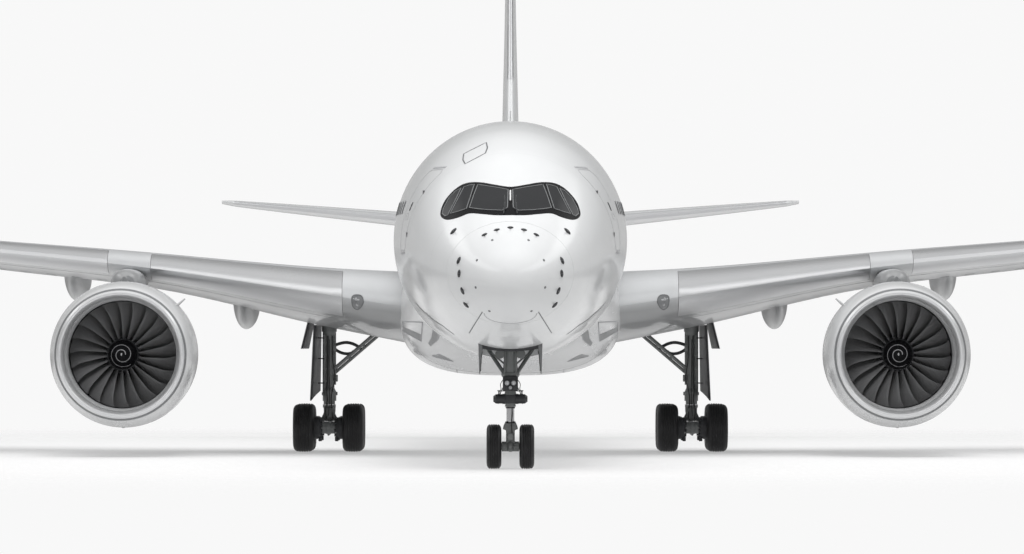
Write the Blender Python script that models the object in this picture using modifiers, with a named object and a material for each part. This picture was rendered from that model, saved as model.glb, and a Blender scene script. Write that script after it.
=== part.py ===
"""A wide-body twin-jet airliner parked on its landing gear, as a half-size model.

Sizes are those of the full-size aircraft, in metres. x runs to the aircraft's own
left, y runs aft from the tip of the nose, and z runs up from the ground. Everything
hangs on one empty, which scales it to half size and centres it over the origin.
"""

import math

import bmesh
import bpy
from mathutils import Matrix, Vector

MODEL_SCALE = 0.5
LENGTH = 66.8
GAP = 0.0006
MERGE_DISTANCE = 0.0001

# The fuselage.
RADOME_SEAM_Y = 1.35
RING_POINTS = 32
# Each row is y, half width, top, bottom and height of the widest point.
NOSE_ROWS = (
    (0.06, 0.33, 4.93, 4.42, 4.65),
    (0.20, 0.60, 5.16, 4.24, 4.66),
    (0.50, 0.93, 5.45, 4.00, 4.70),
    (1.00, 1.33, 5.85, 3.72, 4.78),
    (RADOME_SEAM_Y, 1.54, 6.08, 3.57, 4.83),
)
BODY_ROWS = (
    (RADOME_SEAM_Y, 1.54, 6.08, 3.57, 4.83),
    (2.00, 1.85, 6.45, 3.35, 4.94),
    (3.00, 2.18, 6.96, 3.08, 5.10),
    (4.00, 2.41, 7.46, 2.92, 5.26),
    (5.00, 2.58, 7.90, 2.82, 5.40),
    (7.00, 2.81, 8.48, 2.72, 5.62),
    (9.00, 2.94, 8.73, 2.69, 5.71),
    (10.50, 2.98, 8.78, 2.69, 5.73),
    (43.00, 2.98, 8.78, 2.69, 5.73),
    (47.00, 2.93, 8.78, 2.98, 5.90),
    (51.00, 2.67, 8.78, 3.65, 6.22),
    (55.00, 2.22, 8.74, 4.52, 6.63),
    (59.00, 1.62, 8.60, 5.40, 7.00),
    (62.00, 1.15, 8.42, 6.05, 7.24),
    (65.00, 0.68, 8.05, 6.65, 7.35),
    (LENGTH, 0.38, 7.72, 6.95, 7.34),
)
NOSE_TIP = (0.0, 0.0, 4.65)

# The cockpit windows' outline, as seen from ahead, from the middle outwards.
WINDOW_OUTLINE = (
    (0.00, 6.95), (0.35, 7.01), (0.75, 7.08), (1.10, 7.06), (1.38, 6.90),
    (1.62, 6.62), (1.72, 6.34), (1.68, 6.20), (1.52, 6.14), (1.25, 6.20),
    (1.00, 6.29), (0.68, 6.27), (0.36, 6.24), (0.00, 6.24),
)
WINDOW_BACK_Y = 4.6

# The nose gear's bay.
BAY_HALF_WIDTH = 0.79
BAY_FRONT_Y = 3.6
BAY_BACK_Y = 6.6
BAY_ROOF_Z = 4.25

# The fairing under the wing box: y, how far it swells out, height of its upper edge.
BELLY_ROWS = (
    (18.0, 0.00, 3.30),
    (19.5, 0.35, 3.70),
    (21.5, 0.80, 4.30),
    (24.0, 1.00, 4.95),
    (35.0, 1.00, 4.95),
    (37.5, 0.80, 4.50),
    (39.5, 0.35, 3.90),
    (41.0, 0.00, 3.40),
)
BELLY_HALF_WIDTH = 3.02
BELLY_SHOULDER_Z = 4.05
BELLY_BOTTOM_Z = 2.22
BELLY_TOP = (2.91, 4.95)
BELLY_SKIN = 0.03
BELLY_SQUARENESS = 3.0
BELLY_STEPS = 10
BARREL_HALF_WIDTH = 2.98
BARREL_HALF_HEIGHT = 3.04
BARREL_CENTRE_Z = 5.73

# The wing: x, leading edge y, trailing edge y, leading edge z, trailing edge z,
# upper and lower thickness as shares of the chord, and the rib's cant in degrees.
WING_ROWS = (
    (2.50, 22.06, 35.55, 4.03, 3.12, 0.093, 0.045, 0),
    (5.20, 23.95, 35.90, 4.45, 3.62, 0.080, 0.043, 0),
    (10.30, 27.52, 36.60, 5.22, 4.72, 0.062, 0.034, 0),
    (15.00, 30.81, 38.23, 5.72, 5.28, 0.058, 0.037, 0),
    (20.00, 34.31, 39.97, 6.26, 5.95, 0.056, 0.037, 0),
    (25.00, 37.81, 41.71, 6.83, 6.66, 0.055, 0.037, 0),
    (29.00, 40.60, 43.10, 7.33, 7.23, 0.054, 0.037, 8),
    (30.40, 41.70, 43.75, 7.64, 7.57, 0.052, 0.036, 22),
    (31.40, 42.75, 44.35, 8.08, 8.03, 0.050, 0.035, 38),
    (32.00, 43.60, 44.85, 8.56, 8.52, 0.048, 0.034, 55),
    (32.34, 44.45, 45.30, 9.28, 9.26, 0.045, 0.030, 72),
)
RIB_STEPS = 9
EDGE_THICKNESS = 0.02

# The movable and fitted parts of the wing, by their inner and outer x.
INBOARD_FLAP_X = (3.40, 10.15)
INBOARD_FLAP_FRONT_Y = (33.80, 34.99)
OUTBOARD_FLAP_X = (10.85, 19.90)
OUTBOARD_FLAP_FRONT_Y = (35.16, 38.71)
AILERON_X = (20.45, 27.80)
AILERON_FRONT_Y = (38.93, 41.95)
FLAP_FRONT_GAP = 0.012
SIDE_GAP = 0.035
CONTROL_FRONT_GAP = 0.06
CONTROL_HINGE_SETBACK = 0.22
FLAP_HINGE_SETBACK = 0.05
INBOARD_FLAP_DROP = 0.61
OUTBOARD_FLAP_DROP = 0.66
HINGE_ROD_RADIUS = 0.035
HINGE_LUG_HALF_WIDTH = 0.12
MOVABLE_REACH = 3.0
PRISM_HEIGHT = 12
DROOP_NOSE_X = (4.60, 10.00)
SLAT_X = (11.25, 28.60)
LEADING_PART_SHARE = 0.11

# Flap track fairings: x, front y, back y, bottom z and half width.
FAIRINGS = (
    (7.57, 30.6, 37.4, 3.49, 0.37),
    (12.50, 32.6, 38.6, 4.31, 0.37),
    (17.30, 34.9, 40.0, 4.93, 0.32),
)

# The fin: z, leading edge y, trailing edge y and half thickness.
FIN_ROWS = (
    (8.00, 48.60, 60.68, 0.27),
    (8.90, 51.30, 61.05, 0.27),
    (9.70, 53.50, 61.38, 0.26),
    (13.00, 57.10, 62.73, 0.19),
    (16.40, 60.80, 64.13, 0.125),
    (17.05, 61.75, 64.40, 0.08),
)
RUDDER_FRONT_Y = (58.45, 63.55)
RUDDER_Z = (9.05, 17.05)
RUDDER_HINGE_SETBACK = 0.40
RUDDER_FRONT_GAP = 0.075
RUDDER_BOTTOM_GAP = 0.09
RUDDER_TOP_SPARE = 0.1

# The tailplane: x, leading y, trailing y, leading z, trailing z, upper, lower, cant.
TAILPLANE_ROWS = (
    (0.60, 56.52, 62.39, 6.80, 6.72, 0.045, 0.055, 0),
    (1.80, 57.30, 62.60, 6.92, 6.86, 0.045, 0.055, 0),
    (8.90, 61.94, 64.05, 7.61, 7.58, 0.042, 0.050, 0),
    (9.38, 62.55, 64.15, 7.66, 7.63, 0.030, 0.036, 0),
)
ELEVATOR_X = (2.25, 8.80)
ELEVATOR_FRONT_Y = (61.16, 63.38)

# The engines.
ENGINE_X = 10.57
ENGINE_Z = 2.79
BLADE_COUNT = 22
# Outlines are (y, radius) pairs that run aft along the outside.
LIP_OUTLINE = (
    (22.00, 1.680), (22.06, 1.755), (22.22, 1.805), (22.50, 1.850), (22.50, 1.530),
    (22.20, 1.570), (22.04, 1.625),
)
COWL_OUTLINE = (
    (22.5006, 1.850), (23.30, 1.945), (24.60, 1.992), (26.60, 1.915), (28.20, 1.720),
    (28.20, 1.690), (26.40, 1.640), (24.60, 1.520), (23.20, 1.478), (22.5006, 1.530),
)
CORE_OUTLINE = (
    (24.0006, 0.0), (24.0006, 0.60), (25.60, 1.00), (27.20, 1.06), (28.60, 0.96),
    (29.80, 0.80), (29.80, 0.60), (30.30, 0.44), (31.00, 0.06), (31.00, 0.0),
)
HUB_OUTLINE = (
    (22.92, 0.0), (22.96, 0.11), (23.15, 0.28), (23.42, 0.42), (24.00, 0.56),
    (24.00, 0.0),
)
GUIDE_VANES = 6
VANE_THICKNESS = 0.04
COWL_STEPS = 24
CORE_STEPS = 20
HUB_STEPS = 22
BLADE_Y = 23.70
# Blade sections: radius, chord, stagger and lead in degrees, thickness.
BLADE_SECTIONS = (
    (0.38, 0.44, 14, 0.0, 0.045),
    (0.98, 0.50, 44, 0.4, 0.035),
    (1.43, 0.44, 60, 5.5, 0.018),
)

# The pylon: y, half width, top, bottom.
PYLON_ROWS = (
    (24.35, 0.14, 4.98, 4.55),
    (24.90, 0.34, 5.08, 4.55),
    (25.90, 0.43, 5.14, 4.55),
    (26.30, 0.44, 5.15, 4.22),
    (28.24, 0.42, 5.15, 4.22),
    (28.34, 0.42, 5.15, 3.30),
    (30.20, 0.36, 5.15, 3.42),
    (31.60, 0.26, 5.15, 4.00),
    (33.20, 0.12, 5.00, 4.42),
)

# The nose gear. Heights are above the ground, and offsets are from the leg's axis.
NOSE_GEAR_Y = 4.90
NOSE_LEG_RADIUS = 0.165
NOSE_LEG_BOTTOM_Z = 1.80
STEERING_UNIT_Z = 1.735
STEERING_UNIT_RADIUS = 0.125
STEERING_UNIT_REACH = 0.445
COLLAR_RADIUS = 0.13
LAMP_BAR_LOW = (-0.185, -0.24, 1.94)
LAMP_BAR_HIGH = (0.185, -0.08, 2.29)
NOSE_TRUNNION_Z = 4.02
NOSE_TRUNNION_RADIUS = 0.09
BRACE_FOOT = (0.14, 0.08, 2.32)
BRACE_TOP = (0.85, 1.25, 3.46)
BRACE_RADIUS = 0.055
NOSE_PISTON_RADIUS = 0.10
NOSE_PISTON_FOOT_Z = 1.10
CLAMP_RADIUS = 0.135
CLAMP_Z = (1.40, 1.50)
FORK_HEAD_HALF = (0.18, 0.12)
FORK_HEAD_Z = (0.98, 1.23)
AXLE_BLOCK_HALF = (0.105, 0.16)
AXLE_BLOCK_Z = (0.40, 1.05)
TOW_LUG_HALF_WIDTH = 0.07
TOW_LUG_Z = (0.72, 0.88)
NOSE_TYRE_RADIUS = 0.556
NOSE_TYRE_WIDTH = 0.37
NOSE_RIM_RADIUS = 0.29
NOSE_WHEEL_OFFSET = 0.407
NOSE_AXLE_RADIUS = 0.10
STEERING_JOINT_Z = 1.54
TOW_LUG_REACH = 0.30
NOSE_DOOR_Z = (2.33, 3.14)
NOSE_DOOR_THICKNESS = 0.05
NOSE_DOOR_END_GAP = 0.02

# The main gear.
MAIN_GEAR_X = 5.18
MAIN_GEAR_Y = 33.50
MAIN_TYRE_RADIUS = 0.68
MAIN_TYRE_WIDTH = 0.60
MAIN_RIM_RADIUS = 0.34
MAIN_WHEEL_OFFSET = 0.7035
MAIN_AXLE_RADIUS = 0.12
BOGIE_HALF_LENGTH = 1.02
WHEEL_STEPS = 16
BORE_SIDES = 24
SOCKET_TOP_Z = 3.76
LEG_TOP_RADIUS = 0.25
LEG_RADIUS = 0.183
STAY_RADIUS = 0.085
STAY_TOP_X = 3.62
STAY_FOOT_X = 5.12
STAY_FOOT_Z = 2.23
STAY_SLOPE = 0.86
STAY_LINKS = (((5.14, 3.01), (4.27, 2.96)), ((5.14, 2.91), (4.46, 2.80)))
STAY_LINK_RADIUS = 0.03
MAIN_LEG_BOTTOM_Z = 1.40
MAIN_LEG_HEAD_Z = 3.30
MAIN_PISTON_RADIUS = 0.15
MAIN_PISTON_BOTTOM_Z = 1.00
MAIN_FORK_HALF = (0.20, 0.26)
MAIN_FORK_TOP_Z = 1.12
BEAM_TOP_Z = 0.86
BEAM_HALF = (0.13, 1.20)
AXLE_LINE_REACH = 0.40
# The door on the leg and the short door under the wing beside it. Each edge is its distance
# behind the leg's axis, then x and z of its top, then x and z of its foot.
LEG_DOOR_EDGES = ((-0.62, (5.60, 3.62), (5.70, 1.45)), (0.56, (5.44, 3.62), (5.47, 1.72)))
WING_DOOR_EDGES = ((-0.62, (5.72, 3.90), (5.96, 2.93)), (0.56, (5.61, 3.90), (5.80, 2.93)))
GEAR_DOOR_THICKNESS = 0.05
DOOR_BRACKETS_Z = (1.75, 2.50, 3.20)
DOOR_BRACKET_RADIUS = 0.04

# Jacking pads: the places of their centres in plan, and how far they stand proud.
JACK_PAD_RADIUS = 0.12
JACK_PAD_DEPTH = 0.06
NOSE_JACK = (0.0, 8.2)
WING_JACK = (6.60, 30.20)

for old_object in list(bpy.data.objects):
    bpy.data.objects.remove(old_object)

airliner = bpy.data.collections.new("airliner")
cutters = bpy.data.collections.new("cutters")
bpy.context.scene.collection.children.link(airliner)
bpy.context.scene.collection.children.link(cutters)

model_root = bpy.data.objects.new("airliner_frame", None)
model_root.scale = (MODEL_SCALE, MODEL_SCALE, MODEL_SCALE)
model_root.location = (0, -LENGTH * MODEL_SCALE / 2, 0)
airliner.objects.link(model_root)


def finish(name, colour, roughness, metallic):
    """Makes a plain finish for one part."""
    material = bpy.data.materials.new(name)
    material.use_nodes = True
    shader = material.node_tree.nodes["Principled BSDF"]
    shader.inputs["Base Color"].default_value = (*colour, 1)
    shader.inputs["Roughness"].default_value = roughness
    shader.inputs["Metallic"].default_value = metallic
    return material


WHITE_PAINT = finish("white_paint", (0.86, 0.87, 0.88), 0.22, 0.0)
GREY_PAINT = finish("grey_paint", (0.60, 0.61, 0.63), 0.35, 0.0)
BELLY_PAINT = finish("belly_paint", (0.72, 0.73, 0.75), 0.30, 0.0)
DARK_GLASS = finish("dark_glass", (0.012, 0.012, 0.015), 0.08, 0.0)
BARE_METAL = finish("bare_metal", (0.78, 0.78, 0.80), 0.18, 1.0)
HOT_METAL = finish("hot_metal", (0.32, 0.30, 0.28), 0.38, 1.0)
BLADE_METAL = finish("blade_metal", (0.20, 0.20, 0.22), 0.35, 0.8)
GEAR_PAINT = finish("gear_paint", (0.16, 0.17, 0.17), 0.40, 0.2)
RIM_PAINT = finish("rim_paint", (0.62, 0.63, 0.64), 0.35, 0.3)
TYRE_RUBBER = finish("tyre_rubber", (0.022, 0.022, 0.023), 0.75, 0.0)


def place(name, mesh, material, as_cutter=False):
    """Puts a mesh in the model, or among the cutters."""
    item = bpy.data.objects.new(name, mesh)
    item.parent = model_root
    if as_cutter:
        cutters.objects.link(item)
        item.hide_render = True
        item.display_type = "WIRE"
    else:
        airliner.objects.link(item)
        mesh.materials.append(material)
    return item


def mesh_from(shape, name):
    """Turns a bmesh into a mesh of triangles whose faces point outwards."""
    bmesh.ops.recalc_face_normals(shape, faces=shape.faces)
    bmesh.ops.triangulate(shape, faces=shape.faces[:])
    mesh = bpy.data.meshes.new(name)
    shape.to_mesh(mesh)
    shape.free()
    return mesh


def loft(name, rings, material=None, as_cutter=False, tip=None):
    """Skins rings that have equal counts of points. A tip closes the first end to a point."""
    shape = bmesh.new()
    loops = [[shape.verts.new(point) for point in ring] for ring in rings]
    count = len(rings[0])
    for near, far in zip(loops, loops[1:]):
        for i in range(count):
            j = (i + 1) % count
            shape.faces.new((near[i], near[j], far[j], far[i]))
    shape.faces.new(loops[-1])
    if tip is None:
        shape.faces.new(loops[0])
    else:
        point = shape.verts.new(tip)
        for i in range(count):
            shape.faces.new((loops[0][i], loops[0][(i + 1) % count], point))
    return place(name, mesh_from(shape, name), material, as_cutter)


def turned(name, outline, centre, axis, steps, material=None, as_cutter=False):
    """Turns an outline of (distance along, radius) pairs about the y or the x axis."""
    closed = outline[0][1] > 0
    mesh = bpy.data.meshes.new(name)
    points = [(radius, 0, -along) for along, radius in outline]
    edges = [(i, i + 1) for i in range(len(points) - 1)]
    if closed:
        edges.append((len(points) - 1, 0))
    mesh.from_pydata(points, edges, [])
    item = place(name, mesh, material, as_cutter)
    half_step = Matrix.Rotation(math.pi / steps, 4, "Z")
    if axis == "Y":
        turn = Matrix.Rotation(math.pi / 2, 4, "X")
    else:
        turn = Matrix.Rotation(-math.pi / 2, 4, "Y")
    item.matrix_local = Matrix.Translation(centre) @ turn @ half_step
    screw = item.modifiers.new("turn", "SCREW")
    screw.steps = steps
    screw.render_steps = steps
    screw.use_merge_vertices = True
    screw.merge_threshold = MERGE_DISTANCE
    weld = item.modifiers.new("close", "WELD")
    weld.merge_threshold = MERGE_DISTANCE
    return item


def block(name, low, high, material=None, as_cutter=False):
    """Makes a box between two corners."""
    shape = bmesh.new()
    bmesh.ops.create_cube(shape, size=1)
    low = Vector(low)
    high = Vector(high)
    bmesh.ops.scale(shape, verts=shape.verts, vec=high - low)
    bmesh.ops.translate(shape, verts=shape.verts, vec=(low + high) / 2)
    return place(name, mesh_from(shape, name), material, as_cutter)


def rod(name, start, end, radius, material=None, as_cutter=False, sides=12):
    """Makes a round bar between two points."""
    start = Vector(start)
    end = Vector(end)
    span = end - start
    aim = span.to_track_quat("Z", "X").to_matrix().to_4x4()
    half_side = Matrix.Rotation(math.pi / sides, 4, "Z")
    matrix = Matrix.Translation((start + end) / 2) @ aim @ half_side
    shape = bmesh.new()
    bmesh.ops.create_cone(
        shape, cap_ends=True, segments=sides, radius1=radius, radius2=radius,
        depth=span.length, matrix=matrix)
    return place(name, mesh_from(shape, name), material, as_cutter)


def plate(name, corners, direction, material=None, as_cutter=False):
    """Extrudes a flat outline along a direction."""
    shape = bmesh.new()
    face = shape.faces.new([shape.verts.new(corner) for corner in corners])
    grown = bmesh.ops.extrude_face_region(shape, geom=[face])
    moved = [part for part in grown["geom"] if isinstance(part, bmesh.types.BMVert)]
    bmesh.ops.translate(shape, verts=moved, vec=direction)
    return place(name, mesh_from(shape, name), material, as_cutter)


def combine(item, other, operation):
    """Adds a Boolean to an item. The other shape becomes a cutter or comes as one."""
    boolean = item.modifiers.new(other.name, "BOOLEAN")
    boolean.operation = operation
    boolean.object = other


def cut(item, *others):
    """Takes other shapes away from an item."""
    for other in others:
        combine(item, other, "DIFFERENCE")


def fuse(item, *others):
    """Joins other shapes to an item."""
    for other in others:
        combine(item, other, "UNION")


def keep_inside(item, other):
    """Keeps what an item shares with another shape."""
    combine(item, other, "INTERSECT")


def final_mesh(item):
    """Gives an item's mesh with its modifiers and its place applied."""
    bpy.context.view_layer.update()
    depsgraph = bpy.context.evaluated_depsgraph_get()
    mesh = bpy.data.meshes.new_from_object(item.evaluated_get(depsgraph))
    mesh.transform(item.matrix_local)
    return mesh


def mirrored(item, name):
    """Makes the right-hand twin of a left-hand part."""
    mesh = final_mesh(item)
    mesh.transform(Matrix.Scale(-1, 4, (1, 0, 0)))
    mesh.flip_normals()
    twin = bpy.data.objects.new(name, mesh)
    twin.parent = model_root
    airliner.objects.link(twin)
    return twin


def between(rows, where):
    """Reads a table of rows at a place along its first column, on straight lines."""
    for near, far in zip(rows, rows[1:]):
        if where <= far[0]:
            share = (where - near[0]) / (far[0] - near[0])
            return [a + (b - a) * share for a, b in zip(near, far)]
    return list(rows[-1])


def copied(item, name, material=None, as_cutter=False):
    """Makes a new object from an item's final mesh."""
    mesh = final_mesh(item)
    mesh.materials.clear()
    return place(name, mesh, material, as_cutter)


def grown(outline, distance):
    """Moves the corners of a flat outline outwards by a distance."""
    points = [Vector(point) for point in outline]
    count = len(points)
    area = sum(
        points[i].x * points[(i + 1) % count].y - points[(i + 1) % count].x * points[i].y
        for i in range(count))
    outward = 1 if area > 0 else -1
    result = []
    for i, point in enumerate(points):
        before = (point - points[i - 1]).normalized()
        after = (points[(i + 1) % count] - point).normalized()
        normal_before = Vector((before.y, -before.x)) * outward
        normal_after = Vector((after.y, -after.x)) * outward
        corner = (normal_before + normal_after).normalized()
        result.append(point + corner * distance / max(corner.dot(normal_after), 0.3))
    return result


def jack_pad(name, centre, skin_z):
    """Makes a round pad that stands proud of the skin above it."""
    return rod(
        name, (*centre, skin_z - JACK_PAD_DEPTH), (*centre, skin_z + 0.3), JACK_PAD_RADIUS,
        as_cutter=True, sides=16)


def fuselage_ring(row, grow=0.0):
    """Gives the points round the fuselage at one row."""
    y, half_width, top, bottom, widest = row
    points = []
    for i in range(RING_POINTS):
        angle = 2 * math.pi * i / RING_POINTS
        height = top - widest if math.sin(angle) >= 0 else widest - bottom
        points.append((
            (half_width + grow) * math.cos(angle), y,
            widest + (height + grow) * math.sin(angle)))
    return points


def build_fuselage():
    """Builds the nose cone, the body and the cockpit windows that sit in it."""
    loft("radome", [fuselage_ring(row) for row in NOSE_ROWS], WHITE_PAINT, tip=NOSE_TIP)
    seam = (RADOME_SEAM_Y + GAP, *BODY_ROWS[0][1:])
    rings = [fuselage_ring(row) for row in (seam, *BODY_ROWS[1:])]
    body = loft("fuselage", rings, WHITE_PAINT)
    windows = loft("cockpit_windows", rings, DARK_GLASS)
    right_side = [(-x, z) for x, z in reversed(WINDOW_OUTLINE[1:-1])]
    outline = [*WINDOW_OUTLINE, *right_side]
    for host, grow in ((windows, 0.0), (body, GAP)):
        corners = [(x, 0, z) for x, z in grown(outline, grow)]
        plug = plate(
            "window_plug", corners, (0, WINDOW_BACK_Y + grow, 0), as_cutter=True)
        combine(host, plug, "DIFFERENCE" if grow else "INTERSECT")
    bay = block(
        "nose_bay", (-BAY_HALF_WIDTH - GAP, BAY_FRONT_Y, 0),
        (BAY_HALF_WIDTH + GAP, BAY_BACK_Y, BAY_ROOF_Z + GAP), as_cutter=True)
    cut(body, bay)
    fuse(body, jack_pad("nose_jack_pad", NOSE_JACK, between(BODY_ROWS, NOSE_JACK[1])[3]))
    return body


def belly_ring(row):
    """Gives the points round the belly fairing, closed across inside the fuselage."""
    y, fullness, top_z = row
    half = []
    top_angle = math.asin((top_z - BARREL_CENTRE_Z) / BARREL_HALF_HEIGHT)
    for i in range(BELLY_STEPS + 1):
        share = i / BELLY_STEPS
        angle = top_angle + (-math.pi / 2 - top_angle) * share
        skin = Vector((
            (BARREL_HALF_WIDTH + BELLY_SKIN) * math.cos(angle),
            BARREL_CENTRE_Z + (BARREL_HALF_HEIGHT + BELLY_SKIN) * math.sin(angle)))
        if i < 2:
            full = Vector(BELLY_TOP).lerp(Vector((BELLY_HALF_WIDTH, BELLY_SHOULDER_Z)), i / 2)
        else:
            turn = math.pi / 2 * (i - 2) / (BELLY_STEPS - 2)
            power = 2 / BELLY_SQUARENESS
            drop = (BELLY_SHOULDER_Z - BELLY_BOTTOM_Z) * math.sin(turn) ** power
            full = Vector((
                BELLY_HALF_WIDTH * max(math.cos(turn), 0) ** power, BELLY_SHOULDER_Z - drop))
        half.append(skin.lerp(full, fullness))
    left = [(point.x, y, point.y) for point in half]
    right = [(-x, y, z) for x, y, z in reversed(left[:-1])]
    return left + right


def build_belly(body_clearance, wing_clearances):
    """Builds the fairing that wraps the wing box."""
    belly = loft("belly_fairing", [belly_ring(row) for row in BELLY_ROWS], BELLY_PAINT)
    cut(belly, body_clearance, *wing_clearances)


def thickness_share(share):
    """Gives an aerofoil's half thickness along its chord, as a share of its greatest."""
    return 10 * (
        0.2969 * math.sqrt(share) - 0.1260 * share - 0.3516 * share ** 2
        + 0.2843 * share ** 3 - 0.1015 * share ** 4)


def chord_shares():
    """Gives the places along a chord from the trailing edge to just behind the nose."""
    return [(1 + math.cos(math.pi * i / RIB_STEPS)) / 2 for i in range(RIB_STEPS)]


def rib_ring(row, grow=0.0):
    """Gives the points round a wing or tailplane rib."""
    x, lead_y, trail_y, lead_z, trail_z, upper, lower, cant = row
    chord = trail_y - lead_y
    lean = math.radians(cant)
    across = Vector((-math.sin(lean), 0, math.cos(lean)))

    def surface(share, part, side):
        thick = max(part * chord * thickness_share(share), EDGE_THICKNESS / 2) + grow
        y = lead_y + chord * share + (grow if share == 1 else 0)
        on_chord = Vector((x, y, lead_z + (trail_z - lead_z) * share))
        return on_chord + across * thick * side

    top = [surface(share, upper, 1) for share in chord_shares()]
    bottom = [surface(share, lower, -1) for share in reversed(chord_shares())]
    return [*top, Vector((x, lead_y - grow, lead_z)), *bottom]


def surface_heights(rows, x, y):
    """Gives the heights of a wing's lower surface, chord and upper surface at a place."""
    row_x, lead_y, trail_y, lead_z, trail_z, upper, lower, cant = between(rows, x)
    chord = trail_y - lead_y
    share = min(max((y - lead_y) / chord, 0), 1)
    middle = lead_z + (trail_z - lead_z) * share
    thick = chord * thickness_share(share)
    return middle - lower * thick, middle, middle + upper * thick


def plan_line(span, fronts):
    """Gives a movable part's front line in plan, with its directions along and aft."""
    start = Vector((span[0], fronts[0]))
    end = Vector((span[1], fronts[1]))
    along = (end - start).normalized()
    return start, end, along, Vector((-along.y, along.x))


def plan_prism(name, span, fronts, inset, setback, rise=0.0):
    """Makes a prism over a movable part's plan, with its ends square to its front.

    A rise along the hinge leans the prism, so that its ends are square to the hinge too.
    """
    start, end, along, aft = plan_line(span, fronts)
    ends = []
    for corner, inward in ((start, inset), (end, -inset)):
        height = surface_heights(WING_ROWS, *corner)[1]
        ends.append(corner + along * (inward + height * rise) + aft * setback)
    start, end = ends
    corners = (start, end, end + aft * MOVABLE_REACH, start + aft * MOVABLE_REACH)
    lean = Vector((-along.x * rise, -along.y * rise, 1)) * PRISM_HEIGHT
    return plate(name, [(*corner, 0) for corner in corners], lean, as_cutter=True)


def hinge_ends(rows, span, fronts, setback, drop):
    """Gives the two ends of a hinge line. A drop puts it below the lower surface."""
    start, end, along, aft = plan_line(span, fronts)
    ends = []
    for place_in_plan in (start + aft * setback, end + aft * setback):
        low, middle, high = surface_heights(rows, *place_in_plan)
        height = low - drop if drop else (low + high) / 2
        ends.append(Vector((*place_in_plan, height)))
    return ends


def leading_prism(name, span, share, grow):
    """Makes an upright prism over the front of the wing, back to a share of its chord."""
    places = [span[0] - grow, *[row[0] for row in WING_ROWS if span[0] < row[0] < span[1]],
              span[1] + grow]
    front = []
    back = []
    for x in places:
        row = between(WING_ROWS, x)
        front.append((x, row[1] - 1, 0))
        back.append((x, row[1] + (row[2] - row[1]) * share + grow, 0))
    return plate(name, front + back[::-1], (0, 0, PRISM_HEIGHT), as_cutter=True)


def track_fairing(number, x, front_y, back_y, bottom_z, half_width):
    """Makes one canoe-shaped flap track fairing whose top lies inside the wing."""
    row = between(WING_ROWS, x)
    rings = []
    for share, fullness in ((0, 0.12), (0.12, 0.55), (0.3, 0.88), (0.5, 1),
                            (0.68, 0.95), (0.86, 0.6), (1, 0.12)):
        y = front_y + (back_y - front_y) * share
        low, middle, high = surface_heights(WING_ROWS, x, min(y, row[2]))
        depth = max(middle - bottom_z, 0.1) * fullness
        ring = []
        for i in range(9):
            angle = math.pi * i / 8
            ring.append((
                x + half_width * fullness * math.cos(angle), y,
                middle - depth * math.sin(angle)))
        rings.append(ring)
    return loft(f"track_fairing_{number}", rings, as_cutter=True)


def movable_part(name, whole, material, span, fronts, front_gap, host):
    """Cuts a movable part out of the whole wing, and its bay out of the wing that is left."""
    part = copied(whole, name, material)
    keep_inside(part, plan_prism(f"{name}_plan", span, fronts, SIDE_GAP, front_gap))
    cut(host, plan_prism(f"{name}_bay", span, fronts, 0, 0))
    return part


def add_hinge_rod(part, ends):
    """Adds the rod that a control surface turns on. It reaches across the gaps at its ends."""
    start, end = ends
    along = (end - start).normalized()
    slant = HINGE_ROD_RADIUS * abs(along.z) + GAP
    fuse(part, rod(
        f"{part.name}_hinge", start + along * slant, end - along * slant, HINGE_ROD_RADIUS,
        as_cutter=True, sides=8))


def add_flap_hinges(flap, wing, ends, fairings):
    """Adds a barrel to the flap and a lug to the wing under each of the flap's fairings."""
    start, end = ends
    along = (end - start).normalized()
    barrel_radius = FLAP_HINGE_SETBACK - GAP
    for fairing in fairings:
        x = fairing[0]
        middle = start.lerp(end, (x - start.x) / (end.x - start.x))
        reach = along * HINGE_LUG_HALF_WIDTH
        fuse(flap, rod(
            f"{flap.name}_barrel", middle - reach, middle + reach, barrel_radius,
            as_cutter=True, sides=16))
        fuse(wing, block(
            f"{flap.name}_lug",
            (x - HINGE_LUG_HALF_WIDTH, middle.y - 0.6, middle.z - barrel_radius),
            (x + HINGE_LUG_HALF_WIDTH, middle.y + 0.3, middle.z + 0.15), as_cutter=True))


def gear_door(name, edges, material=None, as_cutter=True):
    """Makes a flat door of the main gear between its front and its rear edge."""
    rings = []
    for behind, (top_x, top_z), (foot_x, foot_z) in edges:
        y = MAIN_GEAR_Y + behind
        rings.append([
            (top_x, y, top_z), (top_x + GEAR_DOOR_THICKNESS, y, top_z),
            (foot_x + GEAR_DOOR_THICKNESS, y, foot_z), (foot_x, y, foot_z)])
    return loft(name, rings, material, as_cutter)


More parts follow.
